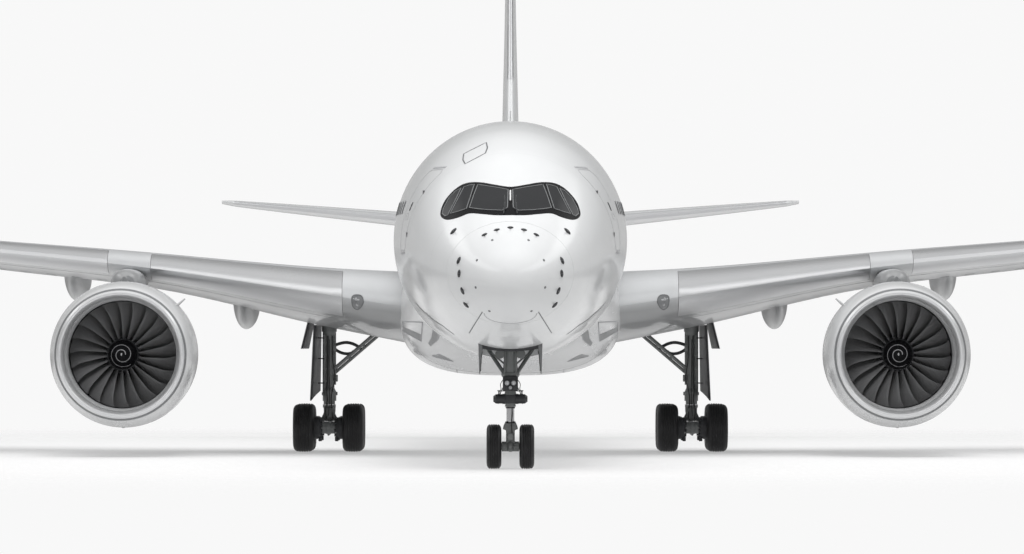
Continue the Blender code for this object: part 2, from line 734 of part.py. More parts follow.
def build_wing(body_clearance, sockets):
    """Builds the left wing with its flaps, aileron and leading edge parts."""
    whole = loft("wing_whole", [rib_ring(row) for row in WING_ROWS], as_cutter=True)
    fuse(whole, *[track_fairing(i, *fairing) for i, fairing in enumerate(FAIRINGS)])
    wing = copied(whole, "wing_left", GREY_PAINT)
    fuse(wing, gear_door("wing_door", WING_DOOR_EDGES))
    cut(wing, body_clearance, *sockets)
    wing_skin_z = surface_heights(WING_ROWS, *WING_JACK)[0]
    fuse(wing, jack_pad("wing_jack_pad", WING_JACK, wing_skin_z))
    inboard_flap = copied(whole, "inboard_flap_left", GREY_PAINT)
    outboard_flap = copied(whole, "outboard_flap_left", GREY_PAINT)
    parts = [wing, inboard_flap, outboard_flap]
    for flap, span, fronts, drop, fairings in (
            (inboard_flap, INBOARD_FLAP_X, INBOARD_FLAP_FRONT_Y, INBOARD_FLAP_DROP,
             FAIRINGS[:1]),
            (outboard_flap, OUTBOARD_FLAP_X, OUTBOARD_FLAP_FRONT_Y, OUTBOARD_FLAP_DROP,
             FAIRINGS[1:])):
        ends = hinge_ends(WING_ROWS, span, fronts, FLAP_HINGE_SETBACK, drop)
        rise = (ends[1].z - ends[0].z) / (ends[1] - ends[0]).to_2d().length
        keep_inside(flap, plan_prism(f"{flap.name}_plan", span, fronts, SIDE_GAP,
                                     FLAP_FRONT_GAP, rise))
        add_flap_hinges(flap, wing, ends, fairings)
        cut(wing, plan_prism(f"{flap.name}_bay", span, fronts, 0, 0, rise))
    aileron = movable_part(
        "aileron_left", whole, GREY_PAINT, AILERON_X, AILERON_FRONT_Y, CONTROL_FRONT_GAP, wing)
    add_hinge_rod(aileron, hinge_ends(
        WING_ROWS, AILERON_X, AILERON_FRONT_Y, CONTROL_HINGE_SETBACK, 0))
    parts.append(aileron)
    for name, span in (("droop_nose_left", DROOP_NOSE_X), ("slat_left", SLAT_X)):
        part = copied(whole, name, BARE_METAL)
        keep_inside(part, leading_prism(f"{name}_plan", span, LEADING_PART_SHARE, 0))
        cut(wing, leading_prism(f"{name}_bay", span, LEADING_PART_SHARE, GAP))
        parts.append(part)
    return parts


def build_tailplane(body_clearance):
    """Builds the left tailplane and its elevator."""
    whole = loft("tailplane_whole", [rib_ring(row) for row in TAILPLANE_ROWS], as_cutter=True)
    tailplane = copied(whole, "tailplane_left", WHITE_PAINT)
    cut(tailplane, body_clearance)
    elevator = movable_part(
        "elevator_left", whole, WHITE_PAINT, ELEVATOR_X, ELEVATOR_FRONT_Y,
        CONTROL_FRONT_GAP, tailplane)
    add_hinge_rod(elevator, hinge_ends(
        TAILPLANE_ROWS, ELEVATOR_X, ELEVATOR_FRONT_Y, CONTROL_HINGE_SETBACK, 0))
    return [tailplane, elevator]


def fin_ring(row):
    """Gives the points round a level section of the fin."""
    z, lead_y, trail_y, half = row
    chord = trail_y - lead_y
    side = []
    for share in chord_shares():
        thick = max(half * thickness_share(share), EDGE_THICKNESS / 2)
        side.append((thick, lead_y + chord * share, z))
    other_side = [(-x, y, height) for x, y, height in reversed(side)]
    return [*side, (0, lead_y, z), *other_side]


def rudder_prism(name, front_gap, bottom_gap):
    """Makes a prism across the fin that holds the rudder."""
    top_z = RUDDER_Z[1] + RUDDER_TOP_SPARE
    rake = (RUDDER_FRONT_Y[1] - RUDDER_FRONT_Y[0]) / (top_z - RUDDER_Z[0])
    corners = (
        (-1, RUDDER_FRONT_Y[0] + front_gap + bottom_gap * rake, RUDDER_Z[0] + bottom_gap),
        (-1, RUDDER_FRONT_Y[1] + front_gap, top_z),
        (-1, RUDDER_FRONT_Y[1] + MOVABLE_REACH, top_z),
        (-1, RUDDER_FRONT_Y[0] + 2 * MOVABLE_REACH, RUDDER_Z[0] + bottom_gap))
    return plate(name, corners, (2, 0, 0), as_cutter=True)


def rudder_hinge_ends():
    """Gives the lower and upper end of the rudder's hinge line."""
    return (
        Vector((0, RUDDER_FRONT_Y[0] + RUDDER_HINGE_SETBACK, RUDDER_Z[0])),
        Vector((0, RUDDER_FRONT_Y[1] + RUDDER_HINGE_SETBACK, RUDDER_Z[1])))


def build_fin(body_clearance):
    """Builds the fin with its dorsal fillet, and the rudder."""
    whole = loft("fin_whole", [fin_ring(row) for row in FIN_ROWS], as_cutter=True)
    fin = copied(whole, "fin", WHITE_PAINT)
    cut(fin, body_clearance, rudder_prism("rudder_bay", 0, 0))
    rudder = copied(whole, "rudder", WHITE_PAINT)
    keep_inside(rudder, rudder_prism("rudder_side_view", RUDDER_FRONT_GAP, RUDDER_BOTTOM_GAP))
    low, high = rudder_hinge_ends()
    along = (high - low).normalized()
    slant = HINGE_ROD_RADIUS * along.y / along.z + GAP
    fuse(rudder, rod(
        "rudder_hinge", low + along * slant, low.lerp(high, 0.5), HINGE_ROD_RADIUS,
        as_cutter=True, sides=8))


def engine_point(radius, angle, y):
    """Gives a point by its radius and angle about the left engine's axis."""
    return Vector((
        ENGINE_X + radius * math.cos(angle), y, ENGINE_Z + radius * math.sin(angle)))


def fan_blades():
    """Makes all the fan blades, each skinned over its sections, as one set of solids."""
    shape = bmesh.new()
    for number in range(BLADE_COUNT):
        spoke = 2 * math.pi * number / BLADE_COUNT
        loops = []
        for radius, chord, stagger, lead, thick in BLADE_SECTIONS:
            lean = math.radians(stagger)
            centre = spoke + math.radians(lead)
            loop = []
            for along, over in ((-0.5, 0), (-0.1, 0.5), (0.5, 0), (-0.1, -0.5)):
                round_way = -along * chord * math.sin(lean) + over * thick * math.cos(lean)
                y = BLADE_Y + along * chord * math.cos(lean) + over * thick * math.sin(lean)
                point = engine_point(radius, centre + round_way / radius, y)
                loop.append(shape.verts.new(point))
            loops.append(loop)
        for near, far in zip(loops, loops[1:]):
            for i in range(4):
                j = (i + 1) % 4
                shape.faces.new((near[i], near[j], far[j], far[i]))
        shape.faces.new(loops[0])
        shape.faces.new(loops[-1])
    return place("fan_blades", mesh_from(shape, "fan_blades"), None, as_cutter=True)


def guide_vanes():
    """Makes the vanes that hold the core in the cowl, as one set of solids."""
    vanes = []
    for number in range(GUIDE_VANES):
        angle = 2 * math.pi * (number + 0.5) / GUIDE_VANES
        sideways = Vector((-math.sin(angle), 0, math.cos(angle))) * VANE_THICKNESS
        corners = [
            engine_point(radius, angle, y) - sideways / 2
            for radius, y in ((0.7, 24.75), (1.6, 24.70), (1.6, 24.98), (0.7, 25.10))]
        vanes.append(plate(f"guide_vane_{number}", corners, sideways, as_cutter=True))
    return vanes


def build_engine(wing_clearance):
    """Builds the left engine: lip, cowl, core, fan and pylon."""
    centre = (ENGINE_X, 0, ENGINE_Z)
    lip = turned("inlet_lip_left", LIP_OUTLINE, centre, "Y", COWL_STEPS, BARE_METAL)
    cowl = turned("engine_cowl_left", COWL_OUTLINE, centre, "Y", COWL_STEPS, GREY_PAINT)
    cowl_clearance = turned(
        "cowl_clearance", grown(COWL_OUTLINE, GAP), centre, "Y", COWL_STEPS, as_cutter=True)
    core = turned("engine_core_left", CORE_OUTLINE, centre, "Y", CORE_STEPS, HOT_METAL)
    fuse(core, *guide_vanes())
    cut(core, cowl_clearance)
    core_room = [(y, max(radius, 0)) for y, radius in grown(CORE_OUTLINE, GAP)]
    core_clearance = turned(
        "core_clearance", core_room, centre, "Y", CORE_STEPS, as_cutter=True)
    rings = []
    for y, half_width, top, bottom in PYLON_ROWS:
        chamfer = half_width * 0.4
        half = ((half_width - chamfer, top), (half_width, top - chamfer), (half_width, bottom))
        right = [(ENGINE_X + x, y, z) for x, z in half]
        left = [(ENGINE_X - x, y, z) for x, z in reversed(half)]
        rings.append(right + left)
    pylon = loft("pylon_left", rings, GREY_PAINT)
    cut(pylon, wing_clearance, cowl_clearance, core_clearance)
    fan = turned("fan_left", HUB_OUTLINE, centre, "Y", HUB_STEPS, BLADE_METAL)
    fuse(fan, fan_blades())
    other_fan = copied(fan, "fan_right", BLADE_METAL)
    other_fan.data.transform(Matrix.Translation((-2 * ENGINE_X, 0, 0)))
    return [lip, cowl, core, pylon]


def tyre(name, centre, width, radius, rim_radius):
    """Makes a tyre that stands on a flat facet and fits over its rim."""
    corner_radius = radius / math.cos(math.pi / WHEEL_STEPS)
    bead = rim_radius + 1.2 * GAP
    wall = corner_radius - bead
    half = (
        (0.36 * width, bead), (0.50 * width, bead + 0.30 * wall),
        (0.50 * width, bead + 0.66 * wall), (0.38 * width, corner_radius))
    outline = [(-x, r) for x, r in half] + [(x, r) for x, r in reversed(half)]
    return turned(name, outline, centre, "X", WHEEL_STEPS, TYRE_RUBBER)


def wheel_pair(name, centre, offset, tyre_width, rim_radius, axle_radius):
    """Makes one axle with the rims of its two wheels."""
    outer = offset + 0.36 * tyre_width
    inner = offset - 0.36 * tyre_width
    half = (
        (outer + 0.05, 0), (outer + 0.05, axle_radius), (outer - 0.07, 1.4 * axle_radius),
        (outer, 0.93 * rim_radius), (outer, rim_radius), (inner, rim_radius),
        (inner, axle_radius))
    outline = [(-x, r) for x, r in half] + [(x, r) for x, r in reversed(half)]
    return turned(name, outline, centre, "X", WHEEL_STEPS, RIM_PAINT)


def axle_bore(name, centre, axle_radius):
    """Makes the bore that an axle turns in."""
    reach = Vector((AXLE_LINE_REACH, 0, 0))
    radius = (axle_radius + GAP) / math.cos(math.pi / BORE_SIDES)
    return rod(name, centre - reach, centre + reach, radius, as_cutter=True, sides=BORE_SIDES)


def torque_links(x, front_y, reach, top_z, bottom_z, width):
    """Makes the pair of torque links behind a leg as one bent plate."""
    elbow_z = (top_z + bottom_z) / 2
    side = (
        (front_y, top_z), (front_y + reach, elbow_z + 0.05), (front_y + reach, elbow_z - 0.05),
        (front_y, bottom_z), (front_y, bottom_z + 0.10), (front_y + reach - 0.12, elbow_z),
        (front_y, top_z - 0.10))
    corners = [(x - width / 2, y, z) for y, z in side]
    return plate("torque_links", corners, (width, 0, 0), as_cutter=True)


def build_nose_gear():
    """Builds the nose gear: fixed leg, steered leg, wheels and bay doors."""
    y = NOSE_GEAR_Y

    def beside(offset, side=1):
        """Gives a point from its offset to the leg's axis, and its height."""
        return (offset[0] * side, y + offset[1], offset[2])

    def box_round_axis(name, half, heights):
        """Makes a box that is centred on the leg's axis."""
        return block(name, (-half[0], y - half[1], heights[0]), (half[0], y + half[1], heights[1]),
                     as_cutter=True)

    leg = rod(
        "nose_leg", (0, y, NOSE_LEG_BOTTOM_Z), (0, y, BAY_ROOF_Z), NOSE_LEG_RADIUS, GEAR_PAINT)
    steering_unit = rod(
        "steering_unit", (-STEERING_UNIT_REACH, y, STEERING_UNIT_Z),
        (STEERING_UNIT_REACH, y, STEERING_UNIT_Z), STEERING_UNIT_RADIUS, as_cutter=True)
    collar = rod(
        "collar", (0, y, STEERING_JOINT_Z + GAP), (0, y, NOSE_LEG_BOTTOM_Z + 0.1), COLLAR_RADIUS,
        as_cutter=True)
    lamp_bar = block("lamp_bar", beside(LAMP_BAR_LOW), beside(LAMP_BAR_HIGH), as_cutter=True)
    trunnion = rod(
        "trunnion", (-1, y, NOSE_TRUNNION_Z), (1, y, NOSE_TRUNNION_Z), NOSE_TRUNNION_RADIUS,
        as_cutter=True)
    braces = [
        rod("brace", beside(BRACE_FOOT, side), beside(BRACE_TOP, side), BRACE_RADIUS,
            as_cutter=True, sides=8)
        for side in (-1, 1)]
    fuse(leg, steering_unit, collar, lamp_bar, trunnion, *braces)
    keep_inside(leg, block(
        "bay_room", (-BAY_HALF_WIDTH, BAY_FRONT_Y, 1), (BAY_HALF_WIDTH, BAY_BACK_Y, BAY_ROOF_Z),
        as_cutter=True))

    steered = rod(
        "nose_steered_leg", (0, y, NOSE_PISTON_FOOT_Z), (0, y, STEERING_JOINT_Z),
        NOSE_PISTON_RADIUS, BARE_METAL, sides=16)
    fork_head = box_round_axis("fork_head", FORK_HEAD_HALF, FORK_HEAD_Z)
    axle_block = box_round_axis("axle_block", AXLE_BLOCK_HALF, AXLE_BLOCK_Z)
    tow_lug = block(
        "tow_lug", (-TOW_LUG_HALF_WIDTH, y - TOW_LUG_REACH, TOW_LUG_Z[0]),
        (TOW_LUG_HALF_WIDTH, y - AXLE_BLOCK_HALF[1] / 2, TOW_LUG_Z[1]), as_cutter=True)
    clamp = rod("clamp", (0, y, CLAMP_Z[0]), (0, y, CLAMP_Z[1]), CLAMP_RADIUS, as_cutter=True)
    links = torque_links(0, y + 0.05, 0.40, 1.49, 0.94, 0.10)
    fuse(steered, fork_head, axle_block, tow_lug, clamp, links)
    centre = Vector((0, y, NOSE_TYRE_RADIUS))
    cut(steered, axle_bore("nose_bore", centre, NOSE_AXLE_RADIUS))

    wheel_pair(
        "nose_wheels", centre, NOSE_WHEEL_OFFSET, NOSE_TYRE_WIDTH, NOSE_RIM_RADIUS,
        NOSE_AXLE_RADIUS)
    for side_name, side in (("left", 1), ("right", -1)):
        hub = centre + Vector((side * NOSE_WHEEL_OFFSET, 0, 0))
        tyre(f"nose_tyre_{side_name}", hub, NOSE_TYRE_WIDTH, NOSE_TYRE_RADIUS, NOSE_RIM_RADIUS)
    door = block(
        "nose_door_left",
        (BAY_HALF_WIDTH - NOSE_DOOR_THICKNESS, BAY_FRONT_Y + NOSE_DOOR_END_GAP, NOSE_DOOR_Z[0]),
        (BAY_HALF_WIDTH, BAY_BACK_Y - NOSE_DOOR_END_GAP, NOSE_DOOR_Z[1]), BELLY_PAINT)
    return [door]


def main_wheels():
    """Lists the left main gear's axles by name and centre."""
    return [
        (end_name, Vector((MAIN_GEAR_X, MAIN_GEAR_Y + end * BOGIE_HALF_LENGTH,
                           MAIN_TYRE_RADIUS)))
        for end_name, end in (("front", -1), ("rear", 1))]


def stay_line(x):
    """Gives a point on the main gear's side stay."""
    return (x, MAIN_GEAR_Y, STAY_FOOT_Z + (STAY_FOOT_X - x) * STAY_SLOPE)


def build_main_gear_sockets():
    """Makes the sockets in the wing that take the main leg and its side stay."""
    leg_socket = rod(
        "leg_socket", (MAIN_GEAR_X, MAIN_GEAR_Y, MAIN_LEG_BOTTOM_Z),
        (MAIN_GEAR_X, MAIN_GEAR_Y, SOCKET_TOP_Z + GAP), LEG_TOP_RADIUS + GAP, as_cutter=True)
    stay_socket = rod(
        "stay_socket", stay_line((STAY_TOP_X + STAY_FOOT_X) / 2), stay_line(STAY_TOP_X - GAP),
        STAY_RADIUS + GAP, as_cutter=True, sides=8)
    return [leg_socket, stay_socket]


def build_main_gear(wing_clearance):
    """Builds the left main gear: leg, stay, door, bogie beam, axles and tyres."""
    x = MAIN_GEAR_X
    y = MAIN_GEAR_Y

    def on_axis(z):
        """Gives a point on the leg's axis."""
        return (x, y, z)

    leg = rod(
        "main_leg_left", on_axis(MAIN_LEG_BOTTOM_Z), on_axis(MAIN_LEG_HEAD_Z + 0.25), LEG_RADIUS,
        GEAR_PAINT, sides=16)
    head = rod(
        "leg_head", on_axis(MAIN_LEG_HEAD_Z), on_axis(SOCKET_TOP_Z), LEG_TOP_RADIUS,
        as_cutter=True)
    piston = rod(
        "main_piston", on_axis(MAIN_PISTON_BOTTOM_Z), on_axis(MAIN_LEG_BOTTOM_Z + 0.1),
        MAIN_PISTON_RADIUS, as_cutter=True)
    fork = block(
        "main_fork", (x - MAIN_FORK_HALF[0], y - MAIN_FORK_HALF[1], BEAM_TOP_Z + GAP),
        (x + MAIN_FORK_HALF[0], y + MAIN_FORK_HALF[1], MAIN_FORK_TOP_Z), as_cutter=True)
    links = torque_links(x, y + 0.10, 0.45, 1.66, 0.97, 0.12)
    fuse(leg, head, piston, fork, links)

    leg_room = rod(
        "leg_room", on_axis(MAIN_PISTON_BOTTOM_Z), on_axis(SOCKET_TOP_Z), LEG_RADIUS + GAP,
        as_cutter=True, sides=16)
    stay = rod(
        "main_stay_left", stay_line(STAY_FOOT_X), stay_line(STAY_TOP_X), STAY_RADIUS, GEAR_PAINT,
        sides=8)
    stay_links = [
        rod("stay_link", (near[0], y, near[1]), (far[0], y, far[1]), STAY_LINK_RADIUS,
            as_cutter=True, sides=8)
        for near, far in STAY_LINKS]
    fuse(stay, *stay_links)
    cut(stay, leg_room)

    door = gear_door("main_leg_door_left", LEG_DOOR_EDGES, GREY_PAINT, as_cutter=False)
    (front_y, front_top, front_foot), (rear_y, rear_top, rear_foot) = LEG_DOOR_EDGES
    share = -front_y / (rear_y - front_y)
    top = Vector(front_top).lerp(Vector(rear_top), share)
    foot = Vector(front_foot).lerp(Vector(rear_foot), share)
    for z in DOOR_BRACKETS_Z:
        plate_x = top.lerp(foot, (z - top.y) / (foot.y - top.y)).x
        fuse(door, rod(
            "door_bracket", on_axis(z), (plate_x + GEAR_DOOR_THICKNESS / 2, y, z),
            DOOR_BRACKET_RADIUS, as_cutter=True, sides=8))
    cut(door, leg_room, wing_clearance)

    beam = block(
        "bogie_beam_left",
        (x - BEAM_HALF[0], y - BEAM_HALF[1], 2 * MAIN_TYRE_RADIUS - BEAM_TOP_Z),
        (x + BEAM_HALF[0], y + BEAM_HALF[1], BEAM_TOP_Z), GEAR_PAINT)
    parts = [leg, stay, door, beam]
    for end_name, centre in main_wheels():
        cut(beam, axle_bore(f"{end_name}_bore", centre, MAIN_AXLE_RADIUS))
        parts.append(wheel_pair(
            f"main_wheels_{end_name}_left", centre, MAIN_WHEEL_OFFSET, MAIN_TYRE_WIDTH,
            MAIN_RIM_RADIUS, MAIN_AXLE_RADIUS))
        for place_name, side in (("inner", -1), ("outer", 1)):
            hub = centre + Vector((side * MAIN_WHEEL_OFFSET, 0, 0))
            parts.append(tyre(
                f"main_tyre_{end_name}_{place_name}_left", hub, MAIN_TYRE_WIDTH,
                MAIN_TYRE_RADIUS, MAIN_RIM_RADIUS))
    return parts


body = build_fuselage()
body_rings = [fuselage_ring(row, GAP) for row in BODY_ROWS]
body_clearance = loft("fuselage_clearance", body_rings, as_cutter=True)
wing_rings = [rib_ring(row, GAP) for row in WING_ROWS]
wing_clearance = loft("wing_clearance_left", wing_rings, as_cutter=True)
mirrored_rings = [[(-x, y, z) for x, y, z in ring] for ring in wing_rings]
other_wing_clearance = loft("wing_clearance_right", mirrored_rings, as_cutter=True)
build_belly(body_clearance, (wing_clearance, other_wing_clearance))
left_parts = build_wing(body_clearance, build_main_gear_sockets())
left_parts += build_tailplane(body_clearance)
build_fin(body_clearance)
left_parts += build_engine(wing_clearance)
left_parts += build_nose_gear()
left_parts += build_main_gear(wing_clearance)
for part in left_parts:
    mirrored(part, part.name.replace("left", "right"))
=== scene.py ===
# %% [markdown]
# # Dressing a wide-body twin-engine airliner
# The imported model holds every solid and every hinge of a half-scale airliner. This lesson gives
# it the skin that a visitor would see: smooth glossy paint, polished leading edges, curved fan
# blades, glazing, doors, cabin windows, lamps, pipes and tyres. Nothing here moves or resizes a
# solid. Each new piece rides on the body that carries it, so it follows the model's joints.

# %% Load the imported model
import math

import bmesh
import bpy
from mathutils import Matrix, Vector
from mathutils.bvhtree import BVHTree


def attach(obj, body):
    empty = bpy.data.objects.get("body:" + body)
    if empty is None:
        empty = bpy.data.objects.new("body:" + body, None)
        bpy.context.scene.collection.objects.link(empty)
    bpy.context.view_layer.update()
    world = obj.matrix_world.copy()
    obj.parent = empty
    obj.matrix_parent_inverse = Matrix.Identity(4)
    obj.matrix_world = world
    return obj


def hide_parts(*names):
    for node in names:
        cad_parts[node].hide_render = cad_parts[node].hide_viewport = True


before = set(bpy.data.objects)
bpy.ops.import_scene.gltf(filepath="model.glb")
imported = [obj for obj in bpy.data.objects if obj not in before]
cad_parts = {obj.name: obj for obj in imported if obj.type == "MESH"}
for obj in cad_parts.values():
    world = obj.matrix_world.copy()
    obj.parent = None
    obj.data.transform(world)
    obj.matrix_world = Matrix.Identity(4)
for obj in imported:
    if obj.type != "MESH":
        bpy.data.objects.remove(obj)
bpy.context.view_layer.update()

# %% [markdown]
# ## Units
# An aircraft is drawn in full-size metres: x to its own left, y aft from the tip of the nose
# and z up from the ground. Every shape below is drawn that way, and one matrix then shrinks it
# to the half-size model and moves it over the origin. A few driving dimensions come first.

# %% Driving dimensions, full size in metres
LENGTH = 66.8
TO_MODEL = Matrix.Scale(0.5, 4) @ Matrix.Translation((0, -LENGTH / 2, 0))
RADOME_SEAM_Y = 1.35
NOSE_GEAR_Y = 4.90
MAIN_GEAR = (5.18, 33.50)
ENGINE_X = 10.57
ENGINE_Z = 2.79
NOSE_TYRE_RADIUS = 0.556
MAIN_TYRE_RADIUS = 0.68
print("model length:", LENGTH / 2, "m")

# %% [markdown]
# ## The camera and the light
# The photograph looks straight at the nose through a very long lens: the far tail is hardly
# smaller than the near nose. A lens of 264 mm some 90 m away gives the same flattening. The
# camera stands low and tips up by less than half a degree, so that the horizon falls below the
# middle of the picture, as it does there.

# %% The camera
FRAME_WIDTH = 1024
FRAME_HEIGHT = 554
SENSOR_WIDTH = 36.0
PIXELS_PER_RADIAN = 7500.0
HORIZON_ROW = 336.2
MIDDLE_COLUMN = 510.4
CAMERA_AHEAD = 181.1
CAMERA_Z = 3.29
CLIP_NEAR = 1
CLIP_FAR = 1000


def put(name, data, place=(0, 0, 0)):
    """Adds an object to the scene."""
    item = bpy.data.objects.new(name, data)
    item.location = place
    bpy.context.scene.collection.objects.link(item)
    return item


camera_data = bpy.data.cameras.new("camera")
camera_data.sensor_width = SENSOR_WIDTH
camera_data.lens = PIXELS_PER_RADIAN * SENSOR_WIDTH / FRAME_WIDTH
camera_data.clip_start = CLIP_NEAR
camera_data.clip_end = CLIP_FAR
camera = put("camera", camera_data, TO_MODEL @ Vector((0, -CAMERA_AHEAD, CAMERA_Z)))
bpy.context.scene.camera = camera
pitch = math.atan((HORIZON_ROW - FRAME_HEIGHT / 2) / PIXELS_PER_RADIAN)
pan = math.atan((MIDDLE_COLUMN - FRAME_WIDTH / 2) / PIXELS_PER_RADIAN)
camera.rotation_euler = (math.pi / 2 + pitch, 0, pan)
print("lens:", round(camera_data.lens, 1), "mm, pitch:", round(math.degrees(pitch), 3))

# %% [markdown]
# ## Shader maths as plain arithmetic
# A procedural finish is a formula. Wiring each plus and minus by hand hides it, so a small
# class stands for one socket and adds a Math node whenever it meets an operator. All other
# nodes come from one method that takes the settings first and then the sockets.

# %% A socket with operators, and a graph that makes nodes


class Signal:
    """One output socket. Arithmetic on it adds Math nodes to its graph."""

    def __init__(self, graph, socket):
        self.graph = graph
        self.socket = socket

    def maths(self, operation, first, second):
        return self.graph.node("ShaderNodeMath", {0: first, 1: second}, operation=operation)

    def __add__(self, other):
        return self.maths("ADD", self, other)

    def __sub__(self, other):
        return self.maths("SUBTRACT", self, other)

    def __rsub__(self, other):
        return self.maths("SUBTRACT", other, self)

    def __mul__(self, other):
        return self.maths("MULTIPLY", self, other)

    def __lt__(self, other):
        return self.maths("LESS_THAN", self, other)

    def __abs__(self):
        return self.maths("ABSOLUTE", self, 0)

    def wave(self, period):
        """Rises and falls between 0 and half a period, like a zigzag."""
        return self.maths("PINGPONG", self, period / 2)

    __radd__ = __add__
    __rmul__ = __mul__


class Graph:
    """A node tree, with one method that makes any node."""

    def __init__(self, tree):
        self.tree = tree

    def feed(self, socket, value):
        """Links a signal to a socket, or sets the socket to a number or a colour."""
        if isinstance(value, Signal):
            self.tree.links.new(value.socket, socket)
        elif isinstance(value, (tuple, list)) and len(value) == 3 and socket.type == "RGBA":
            socket.default_value = (*value, 1)
        else:
            socket.default_value = value

    def node(self, kind, values=None, output=0, stops=None, **settings):
        """Adds one node: first its settings, then its sockets. Gives one of its outputs."""
        made = self.tree.nodes.new(kind)
        for key, value in settings.items():
            setattr(made, key, value)
        if stops:
            ramp = made.color_ramp.elements
            while len(ramp) < len(stops):
                ramp.new(0.5)
            for element, (where, level) in zip(ramp, stops):
                element.position = where
                element.color = (level, level, level, 1)
        for key, value in (values or {}).items():
            self.feed(made.inputs[key], value)
        return Signal(self, made.outputs[output])

    def place(self):
        """Gives the object coordinates."""
        return self.node("ShaderNodeTexCoord", output="Object")

    def part(self, vector, axis):
        """Gives one part of a vector."""
        return self.node("ShaderNodeSeparateXYZ", {0: vector}, output=axis)

    def noise(self, scale, detail=3.0, stretch=(1, 1, 1)):
        """Gives soft noise from 0 to 1, stretched along the model's axes."""
        mapped = self.node("ShaderNodeMapping", {"Vector": self.place(), "Scale": stretch})
        return self.node(
            "ShaderNodeTexNoise", {"Vector": mapped, "Scale": scale, "Detail": detail})

    def ramp(self, signal, stops):
        """Bends a signal through grey stops."""
        return self.node("ShaderNodeValToRGB", {0: signal}, stops=stops)

    def mix(self, factor, first, second):
        """Mixes two colours."""
        return self.node(
            "ShaderNodeMix", {0: factor, 6: first, 7: second}, output=2, data_type="RGBA")


class Finish(Graph):
    """The node tree of one material, around its Principled BSDF."""

    def __init__(self, name, roughness, metallic=0.0, coat=0.0, coat_roughness=0.05):
        self.material = bpy.data.materials.new(name)
        self.material.use_nodes = True
        super().__init__(self.material.node_tree)
        self.shader = self.tree.nodes["Principled BSDF"]
        self.set("Roughness", roughness)
        self.set("Metallic", metallic)
        self.set("Coat Weight", coat)
        self.set("Coat Roughness", coat_roughness)

    def set(self, name, value):
        """Sets a socket of the shader itself."""
        self.feed(self.shader.inputs[name], value)

    def bump(self, height, strength, distance):
        """Raises the surface in the light only."""
        normal = self.node(
            "ShaderNodeBump", {"Height": height, "Strength": strength, "Distance": distance})
        self.set("Normal", normal)


# %% [markdown]
# ## A studio for an airliner
# Glossy paint and bare metal are made by what they mirror. One white room would leave the
# wing's leading edge blank, so the world is banded: a bright strip along the horizon, a quieter
# sky over it, and a bright top. Two more strips at the sides shine for mirrored rays alone and
# draw the bright lines along the wing. The camera itself sees one flat pale tone. A wide light
# overhead and a key light high ahead give the round forms their bright tops and the ground its
# soft shadows, and neither leaves a mirror image. The floor glows, a little less on the skin
# than to the eye, and fades out before its edge can show.

# %% The world, the floor and the light
BACKGROUND = (0.94, 0.94, 0.94)
SKY_BANDS = (
    (0.00, 0.70), (0.40, 0.56), (0.47, 0.30), (0.497, 0.26), (0.503, 0.50), (0.545, 0.38),
    (0.60, 0.20), (0.72, 0.24), (0.84, 0.56), (1.00, 0.86))
SIDE_STRIPS = ((0.735, 0.0), (0.755, 1.0), (0.825, 1.0), (0.85, 0.0))
STRIP_SPREAD = ((0.35, 0.0), (0.60, 1.0))
STRIP_LEVEL = 1.45
FLOOR_RADIUS = 39
FLOOR_FADE = (9.0, 30.0)
FLOOR_TONE = (0.53, 0.53, 0.53)
FLOOR_GLOW = 0.34
GLOW_SEEN = (1.0, 1.0, 1.0)
GLOW_ON_SKIN = (0.88, 0.88, 0.88)
CEILING = {"energy": 9500, "shape": "RECTANGLE", "size": 46, "size_y": 60}
CEILING_PLACE = (0, -8, 34)
KEY = {"energy": 14800, "size": 20}
KEY_PLACE = (4, -54, 52)
KEY_TARGET = (0, -8, 2)

world = bpy.data.worlds.new("studio")
bpy.context.scene.world = world
world.use_nodes = True
room = Graph(world.node_tree)
direction = room.node("ShaderNodeTexCoord", output="Generated")
level = room.part(direction, "Z") * 0.5 + 0.5
sideways = abs(room.part(direction, "X"))
strips = room.ramp(level, SIDE_STRIPS) * room.ramp(sideways, STRIP_SPREAD)
seen = room.node("ShaderNodeLightPath", output="Is Camera Ray")
mirrored = room.node("ShaderNodeLightPath", output="Is Glossy Ray")
lit = room.ramp(level, SKY_BANDS) + strips * mirrored * STRIP_LEVEL
room.feed(world.node_tree.nodes["Background"].inputs["Color"], room.mix(seen, lit, BACKGROUND))

floor_shape = bmesh.new()
bmesh.ops.create_circle(floor_shape, cap_ends=True, segments=128, radius=FLOOR_RADIUS)
floor_mesh = bpy.data.meshes.new("floor")
floor_shape.to_mesh(floor_mesh)
floor_shape.free()
floor = put("floor", floor_mesh)
ground = Finish("floor", 0.85)
ground.set("Base Color", FLOOR_TONE)
reach = ground.node(
    "ShaderNodeVectorMath", {0: ground.place()}, output="Value", operation="LENGTH")
ground.set("Alpha", ground.node(
    "ShaderNodeMapRange", {0: reach, 1: FLOOR_FADE[0], 2: FLOOR_FADE[1], 3: 1.0, 4: 0.0},
    interpolation_type="SMOOTHSTEP"))
watched = ground.node("ShaderNodeLightPath", output="Is Camera Ray")
ground.set("Emission Color", ground.mix(watched, GLOW_ON_SKIN, GLOW_SEEN))
ground.set("Emission Strength", FLOOR_GLOW)
floor_mesh.materials.append(ground.material)


def soft_light(name, place, settings):
    """Adds an area light that leaves no mirror image."""
    data = bpy.data.lights.new(name, "AREA")
    for key, value in settings.items():
        setattr(data, key, value)
    light = put(name, data, place)
    light.visible_glossy = False
    return light


